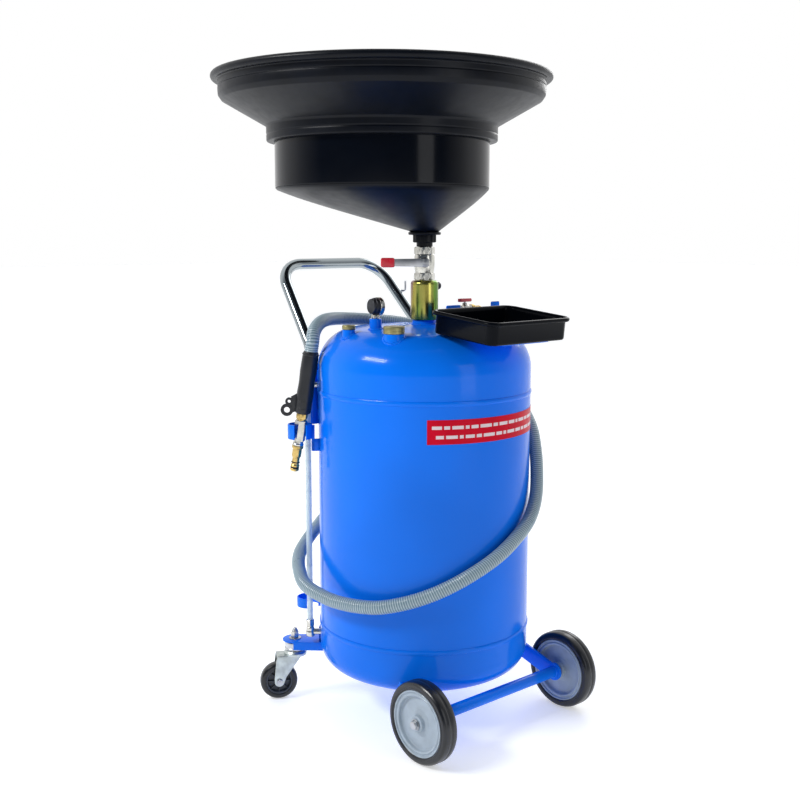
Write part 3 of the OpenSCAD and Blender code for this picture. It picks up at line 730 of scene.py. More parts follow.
cone_rings = [bowl_ring(0.0, 0, 932)]
cone_rings += [bowl_ring(p, 0, 933 + 78 * (p * 0.93 + 0.07 * p**6)) for p in np.linspace(0.01, 0.985, 14)]
cone_rings += [bowl_ring(0.996, 0, 1012.2), bowl_ring(1, 0.3, 1014)]
cone_rings += [bowl_ring(1, 5, 1014)] + [
    bowl_ring(p, 4, 937 + 78 * (p * 0.93 + 0.07 * p**6))
    for p in np.linspace(0.97, 0.02, 12)
]
cone_rings += [bowl_ring(0, 16, 935), bowl_ring(0, 17, 932)]
spigot = lathe(
    [
        (9, 890), (11.9, 890), (11.9, 904.4), (15.4, 904.4), (15.4, 914), (15.5, 926), (30, 926.6),
        (31, 928), (31, 931), (30, 932), (9, 932),
    ],
    96,
    0.8,
    True,
)


def spread(shape, count, finish):
    """Copies a shape evenly round the upright axis with a node group, as plain mesh."""
    base = bpy.data.meshes.new("one")
    base.from_pydata(np.array(shape[0]).tolist(), [], shape[1])
    holder = bpy.data.objects.new("spread", base)
    scene.collection.objects.link(holder)
    group = bpy.data.node_groups.new("spread_round", "GeometryNodeTree")
    face = group.interface
    face.new_socket(name="Shape", in_out="INPUT", socket_type="NodeSocketGeometry")
    face.new_socket(name="Count", in_out="INPUT", socket_type="NodeSocketInt")
    face.new_socket(name="Finish", in_out="INPUT", socket_type="NodeSocketMaterial")
    face.new_socket(name="Shapes", in_out="OUTPUT", socket_type="NodeSocketGeometry")
    make = lambda kind: group.nodes.new(kind)
    start, end = make("NodeGroupInput"), make("NodeGroupOutput")
    points, index = make("GeometryNodePoints"), make("GeometryNodeInputIndex")
    step, angle = make("ShaderNodeMath"), make("ShaderNodeMath")
    spin, place = make("ShaderNodeCombineXYZ"), make("GeometryNodeInstanceOnPoints")
    real, paint = make("GeometryNodeRealizeInstances"), make("GeometryNodeSetMaterial")
    step.operation, angle.operation = "DIVIDE", "MULTIPLY"
    step.inputs[0].default_value = 2 * math.pi
    for a, b in (
        (start.outputs["Count"], points.inputs["Count"]),
        (start.outputs["Count"], step.inputs[1]),
        (step.outputs[0], angle.inputs[0]),
        (index.outputs[0], angle.inputs[1]),
        (angle.outputs[0], spin.inputs["Z"]),
        (points.outputs[0], place.inputs["Points"]),
        (start.outputs["Shape"], place.inputs["Instance"]),
        (spin.outputs[0], place.inputs["Rotation"]),
        (place.outputs[0], real.inputs[0]),
        (real.outputs[0], paint.inputs["Geometry"]),
        (start.outputs["Finish"], paint.inputs["Material"]),
        (paint.outputs[0], end.inputs["Shapes"]),
    ):
        group.links.new(a, b)
    nodes = holder.modifiers.new("spread", "NODES")
    nodes.node_group = group
    for item in face.items_tree:
        if item.in_out == "INPUT" and item.name in ("Count", "Finish"):
            nodes[item.identifier] = count if item.name == "Count" else finish.mat
    bpy.context.view_layer.update()
    made = bpy.data.meshes.new_from_object(holder.evaluated_get(bpy.context.evaluated_depsgraph_get()))
    result = np.array([v.co[:] for v in made.vertices]), [tuple(p.vertices) for p in made.polygons]
    bpy.data.objects.remove(holder)
    return result


union = lathe([(15.7, 912), (20.2, 912), (21, 913), (21, 927), (20.2, 928), (15.7, 928)], 96, 0.7, True)
lug = moved(
    slab(soft([(-2.2, -1.2), (2.2, -1.2), (1.6, 1.4), (-1.6, 1.4)], 0.5, True), 913, 927, 0.6),
    to(0, 21, 0),
)
piece(
    "bowl",
    [
        (moved(drum, over_bowl), black),
        (moved(funnel, over_bowl), satin),
        (loft(cone_rings, wrap=True), satin),
        (spigot, satin),
        (union, satin),
        (spread(lug, 12, satin), satin),
    ],
    "bowl",
    ["bowl_drum", "bowl_funnel", "bowl_cone", "bowl_outlet", "union_nut"],
    sharp=38,
)

# ---- strainer ----
# Perforated zinc-plated sheet that lies on the drum's step and lifts out for cleaning.


def paint_frame(finish, *names):
    """Gives parts that are shown as machined their finish."""
    for name in names:
        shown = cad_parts[name]
        shown.data.materials.clear()
        shown.data.materials.append(finish.mat)


paint_frame(steel, "bowl_strainer", "dip_tube")
nylon = Finish("nylon", (0.78, 0.75, 0.66), 0.45).worn(60, 0.85, 1.1, 0.45)
paint_frame(nylon, "column_bushes")
ball_chrome = Finish("ball_chrome", (0.75, 0.77, 0.8), 0.08, 1.0)
ball_chrome.set("Roughness", ball_chrome.noise(60) * 0.06 + 0.05)
paint_frame(ball_chrome, "valve_ball")

# ---- pressure gauge ----
# Small blackened steel gauge with a bright rolled bezel, facing the handle side,
# standing on a nickel-plated hexagon; white dial with printed ticks behind glass.
to_gauge = (turned("Y", 90), turned("Z", 351), to(-111, 14, 795))
case = [
    (0, -11), (13.4, -11), (14.4, -9.6), (14.4, -4.5), (16, -3.6), (16.2, 3), (15.1, 3), (15.1, -5.2),
    (0, -5.2),
]
bezel = [(15.1, 2.2), (17, 2.2), (17, 10.2), (16.2, 11), (14.6, 11), (14.6, 8.2), (15.1, 8.2)]
piece(
    "gauge_housing",
    [
        (moved(lathe(case, 64, 0.6), *to_gauge), dark),
        (moved(lathe(bezel, 64, 0.6, True), *to_gauge), nickel),
        (moved(hexagon(8.5, 0, 7.4, 0.8), to(-111, 14, 772.2)), nickel),
        (moved(rod((0, 0, 0), (0, 0, 6), 5.5), to(-111, 14, 778)), dark),
    ],
    "root",
    ["gauge_case"],
)
dial_white = Finish("dial_white", (0.88, 0.88, 0.86), 0.5).worn(80, 0.94, 1.05, 0.5)
tick = moved(slab([(-0.25, 10.4), (0.25, 10.4), (0.25, 13), (-0.25, 13)], -3.6, -3.3, 0.1), to(0, 0, 0))
piece(
    "gauge_dial_plate",
    [
        (
            moved(lathe([(1.6, -5), (14.6, -5), (14.6, -3.5), (1.6, -3.5)], 64, 0.2, True), *to_gauge),
            dial_white,
        ),
        (moved(spread(tick, 24, dark), *to_gauge), dark),
    ],
    "root",
    ["gauge_dial"],
)
paint_frame(red, "gauge_needle")
lens = Finish("gauge_glass", (0.85, 0.93, 0.95), 0.05, coat=0.5)
lens.set("Alpha", 0.28)
lens.set("Roughness", lens.noise(40) * 0.05 + 0.03)
piece(
    "gauge_window", [
        (moved(lathe([(0, 6), (14.5, 6), (14.5, 7.9), (10, 8.3), (0, 8.5)], 64, 0.3), *to_gauge), lens)
    ], "root", ["gauge_glass"]
)

# ---- air valve ----
# Small nickel-plated ball valve on its own socket, a red butterfly handle on the spindle,
# and a brass barbed nipple for the compressed air that empties the tank.
to_air = to(119, 10, 781)
along_x = turned("Y", 90)
piece(
    "air_valve",
    [
        (moved(hexagon(10, -21, -11, 1), to_air), nickel),
        (
            moved(
                lathe(
                    [
                        (0, -12), (6.5, -12), (7.8, -9), (8, 0), (7.4, 6), (4.9, 8), (4.9, 11.6),
                        (2.3, 11.6), (2.3, 4), (0, 4),
                    ],
                    48,
                    0.8,
                ),
                to_air,
            ),
            nickel,
        ),
        (moved(hexagon(8, -14, -6, 0.8), along_x, to_air), nickel),
        (moved(lathe([(0, -7), (7, -7), (7.8, -4), (7.8, 8), (0, 8)], 48, 0.8), along_x, to_air), nickel),
        (moved(hexagon(8, 8, 16, 0.8), along_x, to_air), nickel),
    ],
    "root",
    ["air_valve_body"],
)
nipple_outline = [(3, 16), (8, 16), (8, 24), (4.6, 24), (4.6, 26)]
for step in range(4):
    nipple_outline += [(5, 26.5 + 4.2 * step), (4.4, 30 + 4.2 * step)]
nipple_outline += [(4.2, 44), (3, 44)]
piece(
    "air_hose_nipple",
    [(moved(lathe(nipple_outline, 48, 0.3, True), along_x, to_air), brass)],
    "root",
    ["air_nipple"],
)
wing = soft([(-17, -4.2), (-6, -5), (6, -5), (17, -4.2), (17, 4.2), (6, 5), (-6, 5), (-17, 4.2)], 3, True)
piece(
    "air_valve_wing",
    [
        (moved(slab(wing, 13.5, 20.3, 1.8), to_air), red),
        (moved(lathe([(0, 6.7), (2, 6.7), (2, 14), (0, 14)], 24, 0.3), to_air), steel),
        (moved(lathe([(0, 20), (2.6, 20), (2.6, 20.5), (0, 20.5)], 24, 0.2), to_air), steel),
    ],
    "air_handle",
    ["air_valve_handle"],
)

# ---- tool tray ----
# Deep-drawn tray in one sheet with a rolled rim all round, lacquered gloss black.
# It rests on the painted bracket and leans a little forward.
lacquer = Finish("tray_lacquer", (0.0015, 0.0022, 0.004), 0.14, coat=0.03)
lacquer.set("Specular IOR Level", 0.06)
lacquer.shades(lacquer.noise(15), 0.7, 1.5)
lacquer.set("Roughness", lacquer.noise(24) * 0.1 + 0.12)
tray_long, tray_wide = 213, 165
on_tray = (to(0, -tray_wide, 0), turned("X", 5.6), to(-98.5, -113, 795))


def pan_ring(inset, z, corner=24.0, n=12):
    """One level of the tray: a rectangle with round corners, drawn in by an inset."""
    r = max(corner - inset, 4)
    left, right, back = inset + r, tray_long - inset - r, tray_wide - inset - r
    ring = []
    for cx, cy, start in ((right, back, 0), (left, back, 90), (left, left, 180), (right, left, 270)):
        a = np.radians(start + np.linspace(0, 90, n))
        ring += [(cx + r * u, cy + r * v, z) for u, v in zip(np.cos(a), np.sin(a))]
    return ring


levels = [(40, -42), (11.5, -42), (9, -41.2), (7.6, -39.6), (7.2, -37), (7, -8.5), (6.4, -7.8)]
levels += [
    (4 - 4 * math.cos(a), -4 - 4 * math.sin(a))
    for a in np.linspace(np.pi * 0.35, -np.pi * 0.62, 14)
]
levels += [(8.6, -2.4), (9.4, -5), (9.8, -9), (10, -36), (11, -38.4), (13.5, -39.3), (40, -39.3)]
piece(
    "tool_tray",
    [(moved(loft([pan_ring(i, z) for i, z in levels]), *on_tray), lacquer)],
    "tray",
    ["tray"],
    sharp=50,
)
rest = soft([(50, 20), (170, 20), (170, 118), (50, 118)], 4, True)
bracket = [(moved(slab(rest, -45.5, -42.5, 1), *on_tray), blue)]
for x0, x1, top in ((-21, 15, 797), (98, 120, 800), (14, 99, 760)):
    tab = soft([(x0, 745), (x1, 745), (x1, top), (x0, top)], 3, True)
    upright = Matrix(((1, 0, 0, 0), (0, 0, 1, 0), (0, 1, 0, 0), (0, 0, 0, 1)))
    points, faces = moved(slab(tab, -84, -81, 0.8), upright)
    bracket.append(((points, [f[::-1] for f in faces]), blue))
piece("tray_bracket_plates", bracket, "root", ["tray_bracket"])

# ---- push handle ----
# One bent steel tube, polished and chromed, its legs pushed into two painted sockets
# on the shell; a small wire hook for the grip is welded to the right leg.
chrome = Finish("chrome", (0.34, 0.38, 0.40), 0.06, 1.0)
chrome.set("Roughness", chrome.noise(30) * 0.07 + 0.04)


def rounded_line(points, sizes, n=18):
    """A line of straight runs joined by arcs of the given radii."""
    p = [np.array(q, float) for q in points]
    out = [p[0]]
    for a, q, b, size in zip(p[:-2], p[1:-1], p[2:], sizes):
        u, v = (a - q) / np.linalg.norm(a - q), (b - q) / np.linalg.norm(b - q)
        half = math.acos(np.clip(u @ v, -1, 1)) / 2
        c = q + (u + v) / np.linalg.norm(u + v) * size / math.sin(half)
        s, e = q + u * size / math.tan(half) - c, q + v * size / math.tan(half) - c
        turn = math.pi - 2 * half
        out += [
            c + (math.sin((1 - i / n) * turn) * s + math.sin(i / n * turn) * e) / math.sin(turn)
            for i in range(n + 1)
        ]
    out.append(p[-1])
    line = [out[0]]
    for q in out[1:]:
        gap = np.linalg.norm(q - line[-1])
        if gap > 30:
            line += [line[-1] + (q - line[-1]) * k / 4 for k in range(1, 4)]
        line.append(q)
    return line


leg = 219.2 / math.sqrt(2)
bend = rounded_line(
    [
        (leg, leg, 575), (leg, leg, 706), (130, 293.5, 867), (-130, 293.5, 867), (-leg, leg, 706),
        (-leg, leg, 575),
    ],
    [60, 62, 62, 60],
)
piece("push_handle", [(tube(bend, 11, 32), chrome)], "root", ["handle_tube"])
hook_line = rounded_line([(138, 238, 809), (153, 225, 807), (153, 225, 829)], [5], 8)
piece("wire_hook", [(tube(hook_line, 2, 12), steel)], "root", ["handle_hook"])
holders = []
for angle in (45, 135):
    at = (to(219.2, 0, 0), turned("Z", angle))
    holders.append(
        (moved(lathe([(11.1, 562), (14, 562), (14, 680), (11.1, 680)], 48, 0.9, True), *at), blue)
    )
    block = soft([(-15, -6), (-1, -6), (-1, 6), (-15, 6)], 1, True)
    for low in (570, 646):
        holders.append((moved(slab(block, low, low + 22, 1.2), to(-5.5, 0, 0), *at), blue))
        for side in (-7, 7):
            holders.append((moved(rod((-13, side, low + 1), (-13, side, low + 21), 2.2, 12), *at), blue))
piece("handle_leg_sockets", holders, "root", ["handle_sockets"])

# ---- sight tube ----
# Clear stiff tube between two nickel-plated elbows that open into the tank;
# it shows how full the tank is, with moulded marks every 30 mm.
clear = Finish("clear_tube", (0.72, 0.84, 0.88), 0.08, coat=0.4)
clear.set("Alpha", 0.5)
clear.set("Roughness", clear.noise(50) * 0.08 + 0.05)
at_sight = (to(225.5, 0, 0), turned("Z", 141))
marks = [
    (
        moved(
            lathe([(6, z), (6.35, z + 0.4), (6.35, z + 1.2), (6, z + 1.6), (5.2, z + 0.8)], 32, 0.2, True),
            *at_sight,
        ),
        clear,
    )
    for z in range(190, 615, 30)
]
piece(
    "sight_glass_tube",
    [(moved(lathe([(4.5, 160), (6, 160), (6, 635), (4.5, 635)], 40, 0.2, True), *at_sight), clear)] + marks,
    "root",
    ["sight_tube"],
)
piece(
    "sight_tube_elbows",
    [
        (
            moved(
                lathe(
                    [
                        (0, 136), (7.5, 136), (9, 138), (9, 146), (8, 148), (8, 154), (6.1, 156),
                        (6.1, 158), (0, 158),
                    ],
                    40,
                    0.8,
                ),
                *at_sight,
            ),
            nickel,
        ),
        (moved(hexagon(9, 157.5, 170, 1), *at_sight), nickel),
        (moved(rod((-26, 0, 145), (-4, 0, 145), 6), *at_sight), nickel),
        (moved(hexagon(8, 622, 634, 1), *at_sight), nickel),
        (
            moved(
                lathe([(0, 633), (7, 633), (7.6, 636), (7.6, 646), (6, 649.5), (0, 650)], 40, 0.8),
                *at_sight,
            ),
            nickel,
        ),
        (moved(rod((-21, 0, 641), (-3, 0, 641), 6), *at_sight), nickel),
    ],
    "root",
    ["sight_fittings"],
)

# ---- holders for the grip and the probes ----
# Two bands of flat steel bent into open rings, each welded to the shell by a short arm.


def open_band(radius, thick, low, high, start, end, n=40):
    """A flat band bent round an arc, with softened edges."""
    rings = []
    section = soft(
        [(radius - thick, low), (radius, low), (radius, high), (radius - thick, high)],
        0.8,
        True,
    )
    for a in np.radians(np.linspace(start, end, n)):
        rings.append([(r * math.cos(a), r * math.sin(a), z) for r, z in section][::-1])
    return loft(rings)


def arm(direction, near, far, wide, low, high):
    """A flat arm that stands out from the shell in one direction."""
    plate = soft([(near, -wide / 2), (far, -wide / 2), (far, wide / 2), (near, wide / 2)], 0.8, True)
    return moved(slab(plate, low, high, 1), turned("Z", direction))


ring_reach, ring_way = 236, 128.2
ring_x = ring_reach * math.cos(math.radians(ring_way))
ring_y = ring_reach * math.sin(math.radians(ring_way))
piece(
    "probe_holder",
    [
        (moved(open_band(23.5, 2.5, 182, 201, 300, 585), to(ring_x, ring_y, 0)), blue),
        (arm(ring_way, 203, 213.8, 16, 184, 199), blue),
    ],
    "root",
    ["holder_ring"],
)
clip_x, clip_y = -210, 121
away = math.degrees(math.atan2(clip_y, clip_x))
reach = math.hypot(clip_x, clip_y)
piece(
    "grip_clip",
    [
        (moved(open_band(23.5, 2.5, 543, 571, 265, 565), to(clip_x, clip_y, 0)), blue),
        (arm(away, 203, reach - 22.5, 4, 517, 541), blue),
        (arm(away, reach - 28, reach - 22, 4, 518, 568), blue),
    ],
    "root",
    ["gun_clip"],
)

# ---- warning label ----
# Printed red film wrapped round the shell, with two rows of plain white bars.
film_red = Finish("label_red", (0.58, 0.002, 0.02), 0.3, coat=0.02).worn(30, 0.9, 1.08, 0.3)
film_red.set("Specular IOR Level", 0.06)
print_white = Finish("label_print", (0.74, 0.62, 0.65), 0.4).worn(60, 0.95, 1.02, 0.4)


def patch(radius, start, end, low, high, thick=0.5):
    """A thin film that follows the shell."""
    a = np.radians(np.linspace(start, end, max(3, int(abs(end - start) / 1.5))))
    rings = []
    for t in a:
        c, s = math.cos(t), math.sin(t)
        rings.append(
            [
                ((radius - thick) * c, (radius - thick) * s, low),
                ((radius - thick) * c, (radius - thick) * s, high),
                (radius * c, radius * s, high),
                (radius * c, radius * s, low),
            ]
        )
    return loft(rings)


bars = []
for low, high, start, widths in (
    (586, 592, 231, (5, 3, 6, 2, 4, 7, 3, 6, 5, 2, 6, 4, 7, 3)),
    (569, 575, 233, (4, 6, 2, 5, 3, 7, 4, 2, 6, 5, 3, 6, 4, 5)),
):
    for wide in widths:
        bars.append((patch(205.75, start, start + wide, low, high, 0.3), print_white))
        start += wide + 1.1
piece("label_film", [(patch(205.6, 228.6, 325, 559, 603), film_red)] + bars, "root", ["label"])

# ---- rear hose elbow ----
# Nickel-plated forged elbow screwed into the shell, with a hexagon and a clamp ring
# that holds the hose; behind it the dip tube goes down to the bottom of the tank.
to_elbow = to(15, 234, 425)
toward_hose = (turned("Y", -134), to_elbow)
inward = (turned("X", 90), to_elbow)
piece(
    "hose_elbow",
    [
        (
            moved(
                lathe(
                    [(13.9 * math.cos(a), 13.9 * math.sin(a)) for a in np.linspace(-1.55, 1.55, 20)],
                    48,
                    0,
                ),
                to_elbow,
            ),
            nickel,
        ),
        (
            moved(
                lathe([(0, 0), (11, 0), (11, 22), (12.4, 24), (12.4, 29.5), (0, 29.5)], 48, 0.8),
                *inward,
            ),
            nickel,
        ),
        (moved(hexagon(14.5, 12, 21, 1.2), *inward), nickel),
        (moved(lathe([(0, 20), (6, 20), (6, 94), (0, 94)], 32, 0.5), *inward), nickel),
        (
            moved(
                lathe(
                    [(0, 0), (12.6, 0), (12.6, 8), (14.6, 8.6), (14.6, 20), (13.2, 20.5), (0, 20.5)],
                    48,
                    0.8,
                ),
                *toward_hose,
            ),
            nickel,
        ),
    ],
    "root",
    ["hose_fitting"],
)

# ---- fixed axle ----
# Two arms of flat plate welded under the tank carry a painted cross tube; a zinc-plated
# rod runs through it, with spacers, washers and lock nuts outside the wheels.
plate_out = [(-110, 84), (-110, 118), (-196, 91)]
plate_out += [
    (-203 + 17.5 * math.cos(a), 75 + 17.5 * math.sin(a))
    for a in np.radians(np.linspace(66, 285, 22))
]


def side_plate(x):
    """One axle arm; its outline lies in the upright plane along the tank's side."""
    flat = slab(plate_out, -3, 3, 0.9)
    return moved(flat, Matrix(((0, 0, 1, 0), (1, 0, 0, 0), (0, 1, 0, 0), (0, 0, 0, 1))), to(x, 0, 0))


to_axle = to(0, -203, 75)
arms = [(side_plate(s * 163), blue) for s in (-1, 1)]
piece("axle_arm_plates", arms, "root", ["axle_arms"])
cross = lathe([(6.1, -166), (11, -166), (11, 166), (6.1, 166)], 48, 0.8, True)
beads = [
    moved(
        lathe([(10.6, -2.6), (12.6, -1.2), (12.9, 0), (12.6, 1.2), (10.6, 2.6)], 48, 0.6, True),
        to(0, 0, z),
    )
    for z in (-159.2, 159.2)
]
piece(
    "axle_cross_tube",
    [(moved(cross, along_x, to_axle), blue)] + [(moved(b, along_x, to_axle), blue) for b in beads],
    "root",
    ["axle_tube"],
)
piece(
    "axle_round_bar",
    [(moved(lathe([(0, -211.5), (6, -211.5), (6, 211.5), (0, 211.5)], 48, 1.2), along_x, to_axle), steel)],
    "root",
    ["axle_rod"],
)
nuts = []
for spin in (0, 180):
    at = (along_x, turned("Z", spin), to_axle)
    nuts.append((moved(lathe([(6.1, 166), (9, 166), (9, 172), (6.1, 172)], 40, 0.6, True), *at), steel))
    nuts.append(
        (moved(lathe([(6.1, 206.5), (10, 206.5), (10, 208), (6.1, 208)], 40, 0.4, True), *at), steel)
    )
    nuts.append((moved(hexagon(9, 208, 211, 0.5), *at), steel))
    nuts.append(
        (moved(lathe([(0, 210), (7.9, 210.6), (7.4, 213.2), (5.4, 214), (0, 214)], 40, 0.6), *at), steel)
    )
piece("axle_end_nuts", nuts, "root", ["axle_nuts"])

# ---- fixed wheels ----
# Injection-moulded light grey hub with a rolled lip, a deep dish and a long boss;
# a solid black rubber tyre with round shoulders and one groove is pressed over it.
hub_grey = Finish(
    "hub_plastic", (0.36, 0.43, 0.50), 0.38, coat=0.12,
).worn(40, 0.85, 1.1, 0.42, 500, 0.00008)
half_hub = [
    (6.1, 16.4), (13.2, 16.4), (14.6, 15.4), (16, 9.2), (22, 8.2), (24.5, 7.2), (46.5, 6.4), (48.6, 8),
    (49.6, 13.4), (52.8, 14.4), (54.4, 12.6), (56.4, 12.4), (57.4, 15.2), (60, 15.4),
]
hub = half_hub + [(r, -z) for r, z in half_hub[::-1]]
tyre = [
    (60, -14), (62, -15.6), (66, -16.2), (70.4, -15.6), (73.4, -13), (74.8, -9), (75, -3.2), (74.1, -1.6),
    (74.1, 1.6), (75, 3.2), (74.8, 9), (73.4, 13), (70.4, 15.6), (66, 16.2), (62, 15.6), (60, 14),
]
for name, s in (("left", -1), ("right", 1)):
    at = (turned("Y", 90 * s), to(s * 189, -203, 75))
    piece(
        f"hub_{name}",
        [(moved(lathe(hub[::-1], 96, 0.9, True), *at), hub_grey)],
        f"wheel_{name}",
        [f"wheel_hub_{name}"],
    )
    wall = [(moved(lathe(tyre, 128, 0.9, True), *at), rubber)]
    for z in (-16.1, 16.1):
        wall.append(
            (
                moved(
                    lathe(
                        [(63.4, z - 0.35), (64.4, z - 0.35), (64.4, z + 0.35), (63.4, z + 0.35)],
                        96,
                        0.2,
                        True,
                    ),
                    *at,
                ),
                rubber,
            )
        )
    piece(f"tyre_{name}", wall, f"wheel_{name}", [f"wheel_tyre_{name}"])

# ---- caster brackets and king bolts ----
# Pressed steel brackets welded to the tank carry the swivel bolts; each bolt is held
# by a washer and a tall nut above, with a ball race below.
brackets, bolts = [], []
for angle in (45, 135):
    at = (turned("Z", angle),)
    far = 183 * math.sqrt(2)
    top = [(150, -25)] + [
        (far + 25 * math.cos(a), 25 * math.sin(a))
        for a in np.linspace(-np.pi / 2, np.pi / 2, 22)
    ] + [(150, 25)]
    brackets.append((moved(slab(top, 119, 122, 1), *at), blue))
    for side in (-1, 1):
        web = soft([(150, -1.5), (far, -1.5), (far, 1.5), (150, 1.5)], 1, True)
        brackets.append((moved(slab(web, 105.2, 120, 1), to(0, side * 23.4, 0), *at), blue))
    back = soft([(168, -12), (209, -12), (209, 12), (168, 12)], 1.5, True)
    brackets.append((moved(slab(back, 118, 150, 1.2), *at), blue))
    over = (to(far, 0, 0), *at)
    bolts += [
        (moved(lathe([(0, 84), (6, 84), (6, 124), (0, 124)], 32, 0.6), *over), steel),
        (moved(lathe([(6, 122), (12, 122), (12, 124), (6, 124)], 40, 0.5, True), *over), steel),
        (moved(hexagon(8.5, 124, 136, 1.1), *over), nickel),
        (
            moved(
                lathe([(0, 135), (6.6, 135.6), (6.2, 138.5), (4.4, 141.4), (3.4, 144), (0, 144)], 32, 1),
                *over,
            ),
            steel,
        ),
        (
            moved(
                lathe(
                    [
                        (6.1, 100.2), (19, 100.2), (21.5, 102), (21.5, 104.5), (20, 106.5), (20.5, 110),
                        (20.5, 116), (19, 119), (6.1, 119),
                    ],
                    64,
                    0.8,
                    True,
                ),
                *over,
            ),
            steel,
        ),
    ]
piece("caster_bracket_pair", brackets, "root", ["caster_brackets"])
piece("swivel_bolts", bolts, "root", ["king_bolts"])

# ---- casters ----
# Pressed zinc-plated fork turning under the race, with two tapering legs;
# dark plastic wheel with ribs between rim and hub, a black tyre, a bolt and two nuts.
zinc = Finish("zinc_fork", (0.52, 0.57, 0.56), 0.3, 1.0).worn(70, 0.75, 1.12, 0.36, 400, 0.00006)
dark_plastic = Finish("dark_plastic", (0.035, 0.042, 0.055), 0.38).worn(60, 0.75, 1.3, 0.45, 500, 0.00008)
half_rim = [
    (4.1, 12.4), (8.2, 12.4), (9, 11.6), (9.8, 5.2), (12, 4.2), (21.4, 3.6), (22.6, 6), (23.4, 10.6),
    (26.5, 10.8),
]
rim = half_rim + [(r, -z) for r, z in half_rim[::-1]]
rib_plate = moved(
    slab(soft([(8.6, -0.9), (22.8, -0.9), (22.8, 0.9), (8.6, 0.9)], 0.5, True), -8.4, 8.4, 0.6),
    to(0, 0, 0),
)
wheel_ribs = spread(rib_plate, 8, dark_plastic)
small_tyre = [
    (26.5, -11.4), (29, -12), (32.6, -11.6), (35.6, -9.6), (37.1, -6.4), (37.5, -3), (37.5, 3),
    (37.1, 6.4), (35.6, 9.6), (32.6, 11.6), (29, 12), (26.5, 11.4),
]
leg_plate = [(-12, 91), (-6, 83), (20, 47), (24.4, 35)] + [
    (34 + 9.8 * math.cos(a), 37.5 + 9.8 * math.sin(a))
    for a in np.radians(np.linspace(195, 345, 14))
] + [(44, 44), (40, 80), (38, 91)]
for name, s, angle in (("left", -1, 150), ("right", 1, 30)):
    at = (turned("Z", angle), to(s * 183, 183, 0))
    fork = [
        (
            moved(
                lathe(
                    [(6.1, 88), (16, 88), (23, 89.5), (23, 95), (20.6, 97), (19, 99.4), (6.1, 99.4)],
                    64,
                    1,
                    True,
                ),
                *at,
            ),
            zinc,
        ),
    ]
    crown = soft([(14, -16), (38, -16), (38, 16), (14, 16)], 3, True)
    fork.append((moved(slab(crown, 88, 91, 1), *at), zinc))
    for y in (-14.75, 14.75):
        stand = Matrix(((1, 0, 0, 0), (0, 0, 1, 0), (0, 1, 0, 0), (0, 0, 0, 1)))
        plate = moved(slab(leg_plate, -1.25, 1.25, 0.7), stand)
        plate = (plate[0], [f[::-1] for f in plate[1]])
        fork.append((moved(plate, to(0, y, 0), *at), zinc))
    through = (turned("X", 90), to(34, 0, 37.5), *at)
    fork.append((moved(lathe([(0, -19.5), (4, -19.5), (4, 19.5), (0, 19.5)], 24, 0.8), *through), steel))
    for z in (-19.4, 16):
        fork.append((moved(hexagon(6.5, z, z + 3.4, 0.5), *through), steel))
    piece(f"fork_{name}", fork, f"caster_{name}", [f"caster_fork_{name}"])
    piece(
        f"caster_hub_{name}",
        [
            (moved(lathe(rim[::-1], 72, 0.7, True), *through), dark_plastic),
            (moved(wheel_ribs, *through), dark_plastic),
        ],
        f"caster_wheel_{name}",
        [f"caster_wheel_{name}"],
    )
    piece(
        f"caster_tread_{name}",
        [(moved(lathe(small_tyre, 96, 0.8, True), *through), rubber)],
        f"caster_wheel_{name}",
        [f"caster_tyre_{name}"],
    )

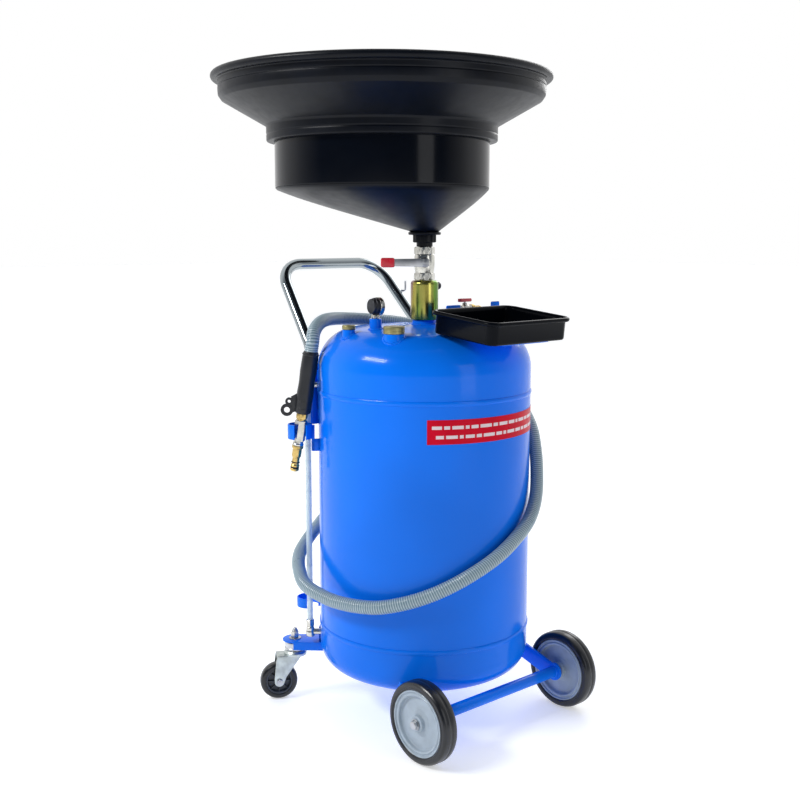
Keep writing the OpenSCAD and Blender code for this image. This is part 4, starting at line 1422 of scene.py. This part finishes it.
# ---- floor and studio light ----
# A plain pale floor that is not part of the object, and three soft panels. The room is white
# where it is seen, and darker on one side where it lights the object.
floor_finish = Finish("studio_floor", (0.84, 0.85, 0.86), 0.7)
floor_finish.set("Emission Color", (1, 1, 1, 1))
floor_finish.set("Emission Strength", 0.46)
floor_mesh = bpy.data.meshes.new("floor")
floor_mesh.from_pydata(
    [(-30, -30, -0.0005), (30, -30, -0.0005), (30, 30, -0.0005), (-30, 30, -0.0005)],
    [],
    [(0, 1, 2, 3)],
)
floor_mesh.materials.append(floor_finish.mat)
floor = bpy.data.objects.new("floor", floor_mesh)
scene.collection.objects.link(floor)
floor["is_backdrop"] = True
room = bpy.data.worlds.new("room")
room.use_nodes = True
sky = room.node_tree
back = sky.nodes["Background"]
where, split = sky.nodes.new("ShaderNodeTexCoord"), sky.nodes.new("ShaderNodeVectorMath")
split.operation = "DOT_PRODUCT"
split.inputs[1].default_value = (0.664, 0.747, 0.0)
tone = sky.nodes.new("ShaderNodeValToRGB")
tone.color_ramp.elements[0].position, tone.color_ramp.elements[0].color = 0.3, (0.09, 0.11, 0.14, 1)
tone.color_ramp.elements[1].position, tone.color_ramp.elements[1].color = 0.62, (1, 1, 1, 1)
shift = sky.nodes.new("ShaderNodeMath")
shift.operation = "MULTIPLY_ADD"
shift.inputs[1].default_value, shift.inputs[2].default_value = 0.5, 0.5
sky.links.new(where.outputs["Generated"], split.inputs[0])
sky.links.new(split.outputs["Value"], shift.inputs[0])
sky.links.new(shift.outputs[0], tone.inputs["Fac"])
plain = sky.nodes.new("ShaderNodeMix")
plain.data_type = "RGBA"
plain.inputs[7].default_value = (1, 1, 1, 1)
sky.links.new(sky.nodes.new("ShaderNodeLightPath").outputs["Is Camera Ray"], plain.inputs[0])
sky.links.new(tone.outputs["Color"], plain.inputs[6])
sky.links.new(plain.outputs[2], back.inputs["Color"])
back.inputs["Strength"].default_value = 1.0
scene.world = room
scene.view_settings.view_transform = "Standard"
for name, at, aim, wide, tall, power in (
    ("key_panel", (-2.6, 0.6, 2.6), (0, 0, 0.7), 1.5, 0.5, 70),
    ("fill_panel", (0.2, -3.0, 1.3), (0, 0, 0.6), 0.9, 2.2, 11),
    ("rim_panel", (2.6, 0.9, 2.2), (0, 0, 0.8), 1.0, 1.6, 18),
):
    lamp = bpy.data.objects.new(name, bpy.data.lights.new(name, "AREA"))
    lamp.data.shape, lamp.data.energy = "RECTANGLE", power
    lamp.data.size, lamp.data.size_y = wide, tall
    lamp.location = at
    lamp.rotation_euler = (Vector(aim) - lamp.location).to_track_quat("-Z", "Y").to_euler()
    scene.collection.objects.link(lamp)

low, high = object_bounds()
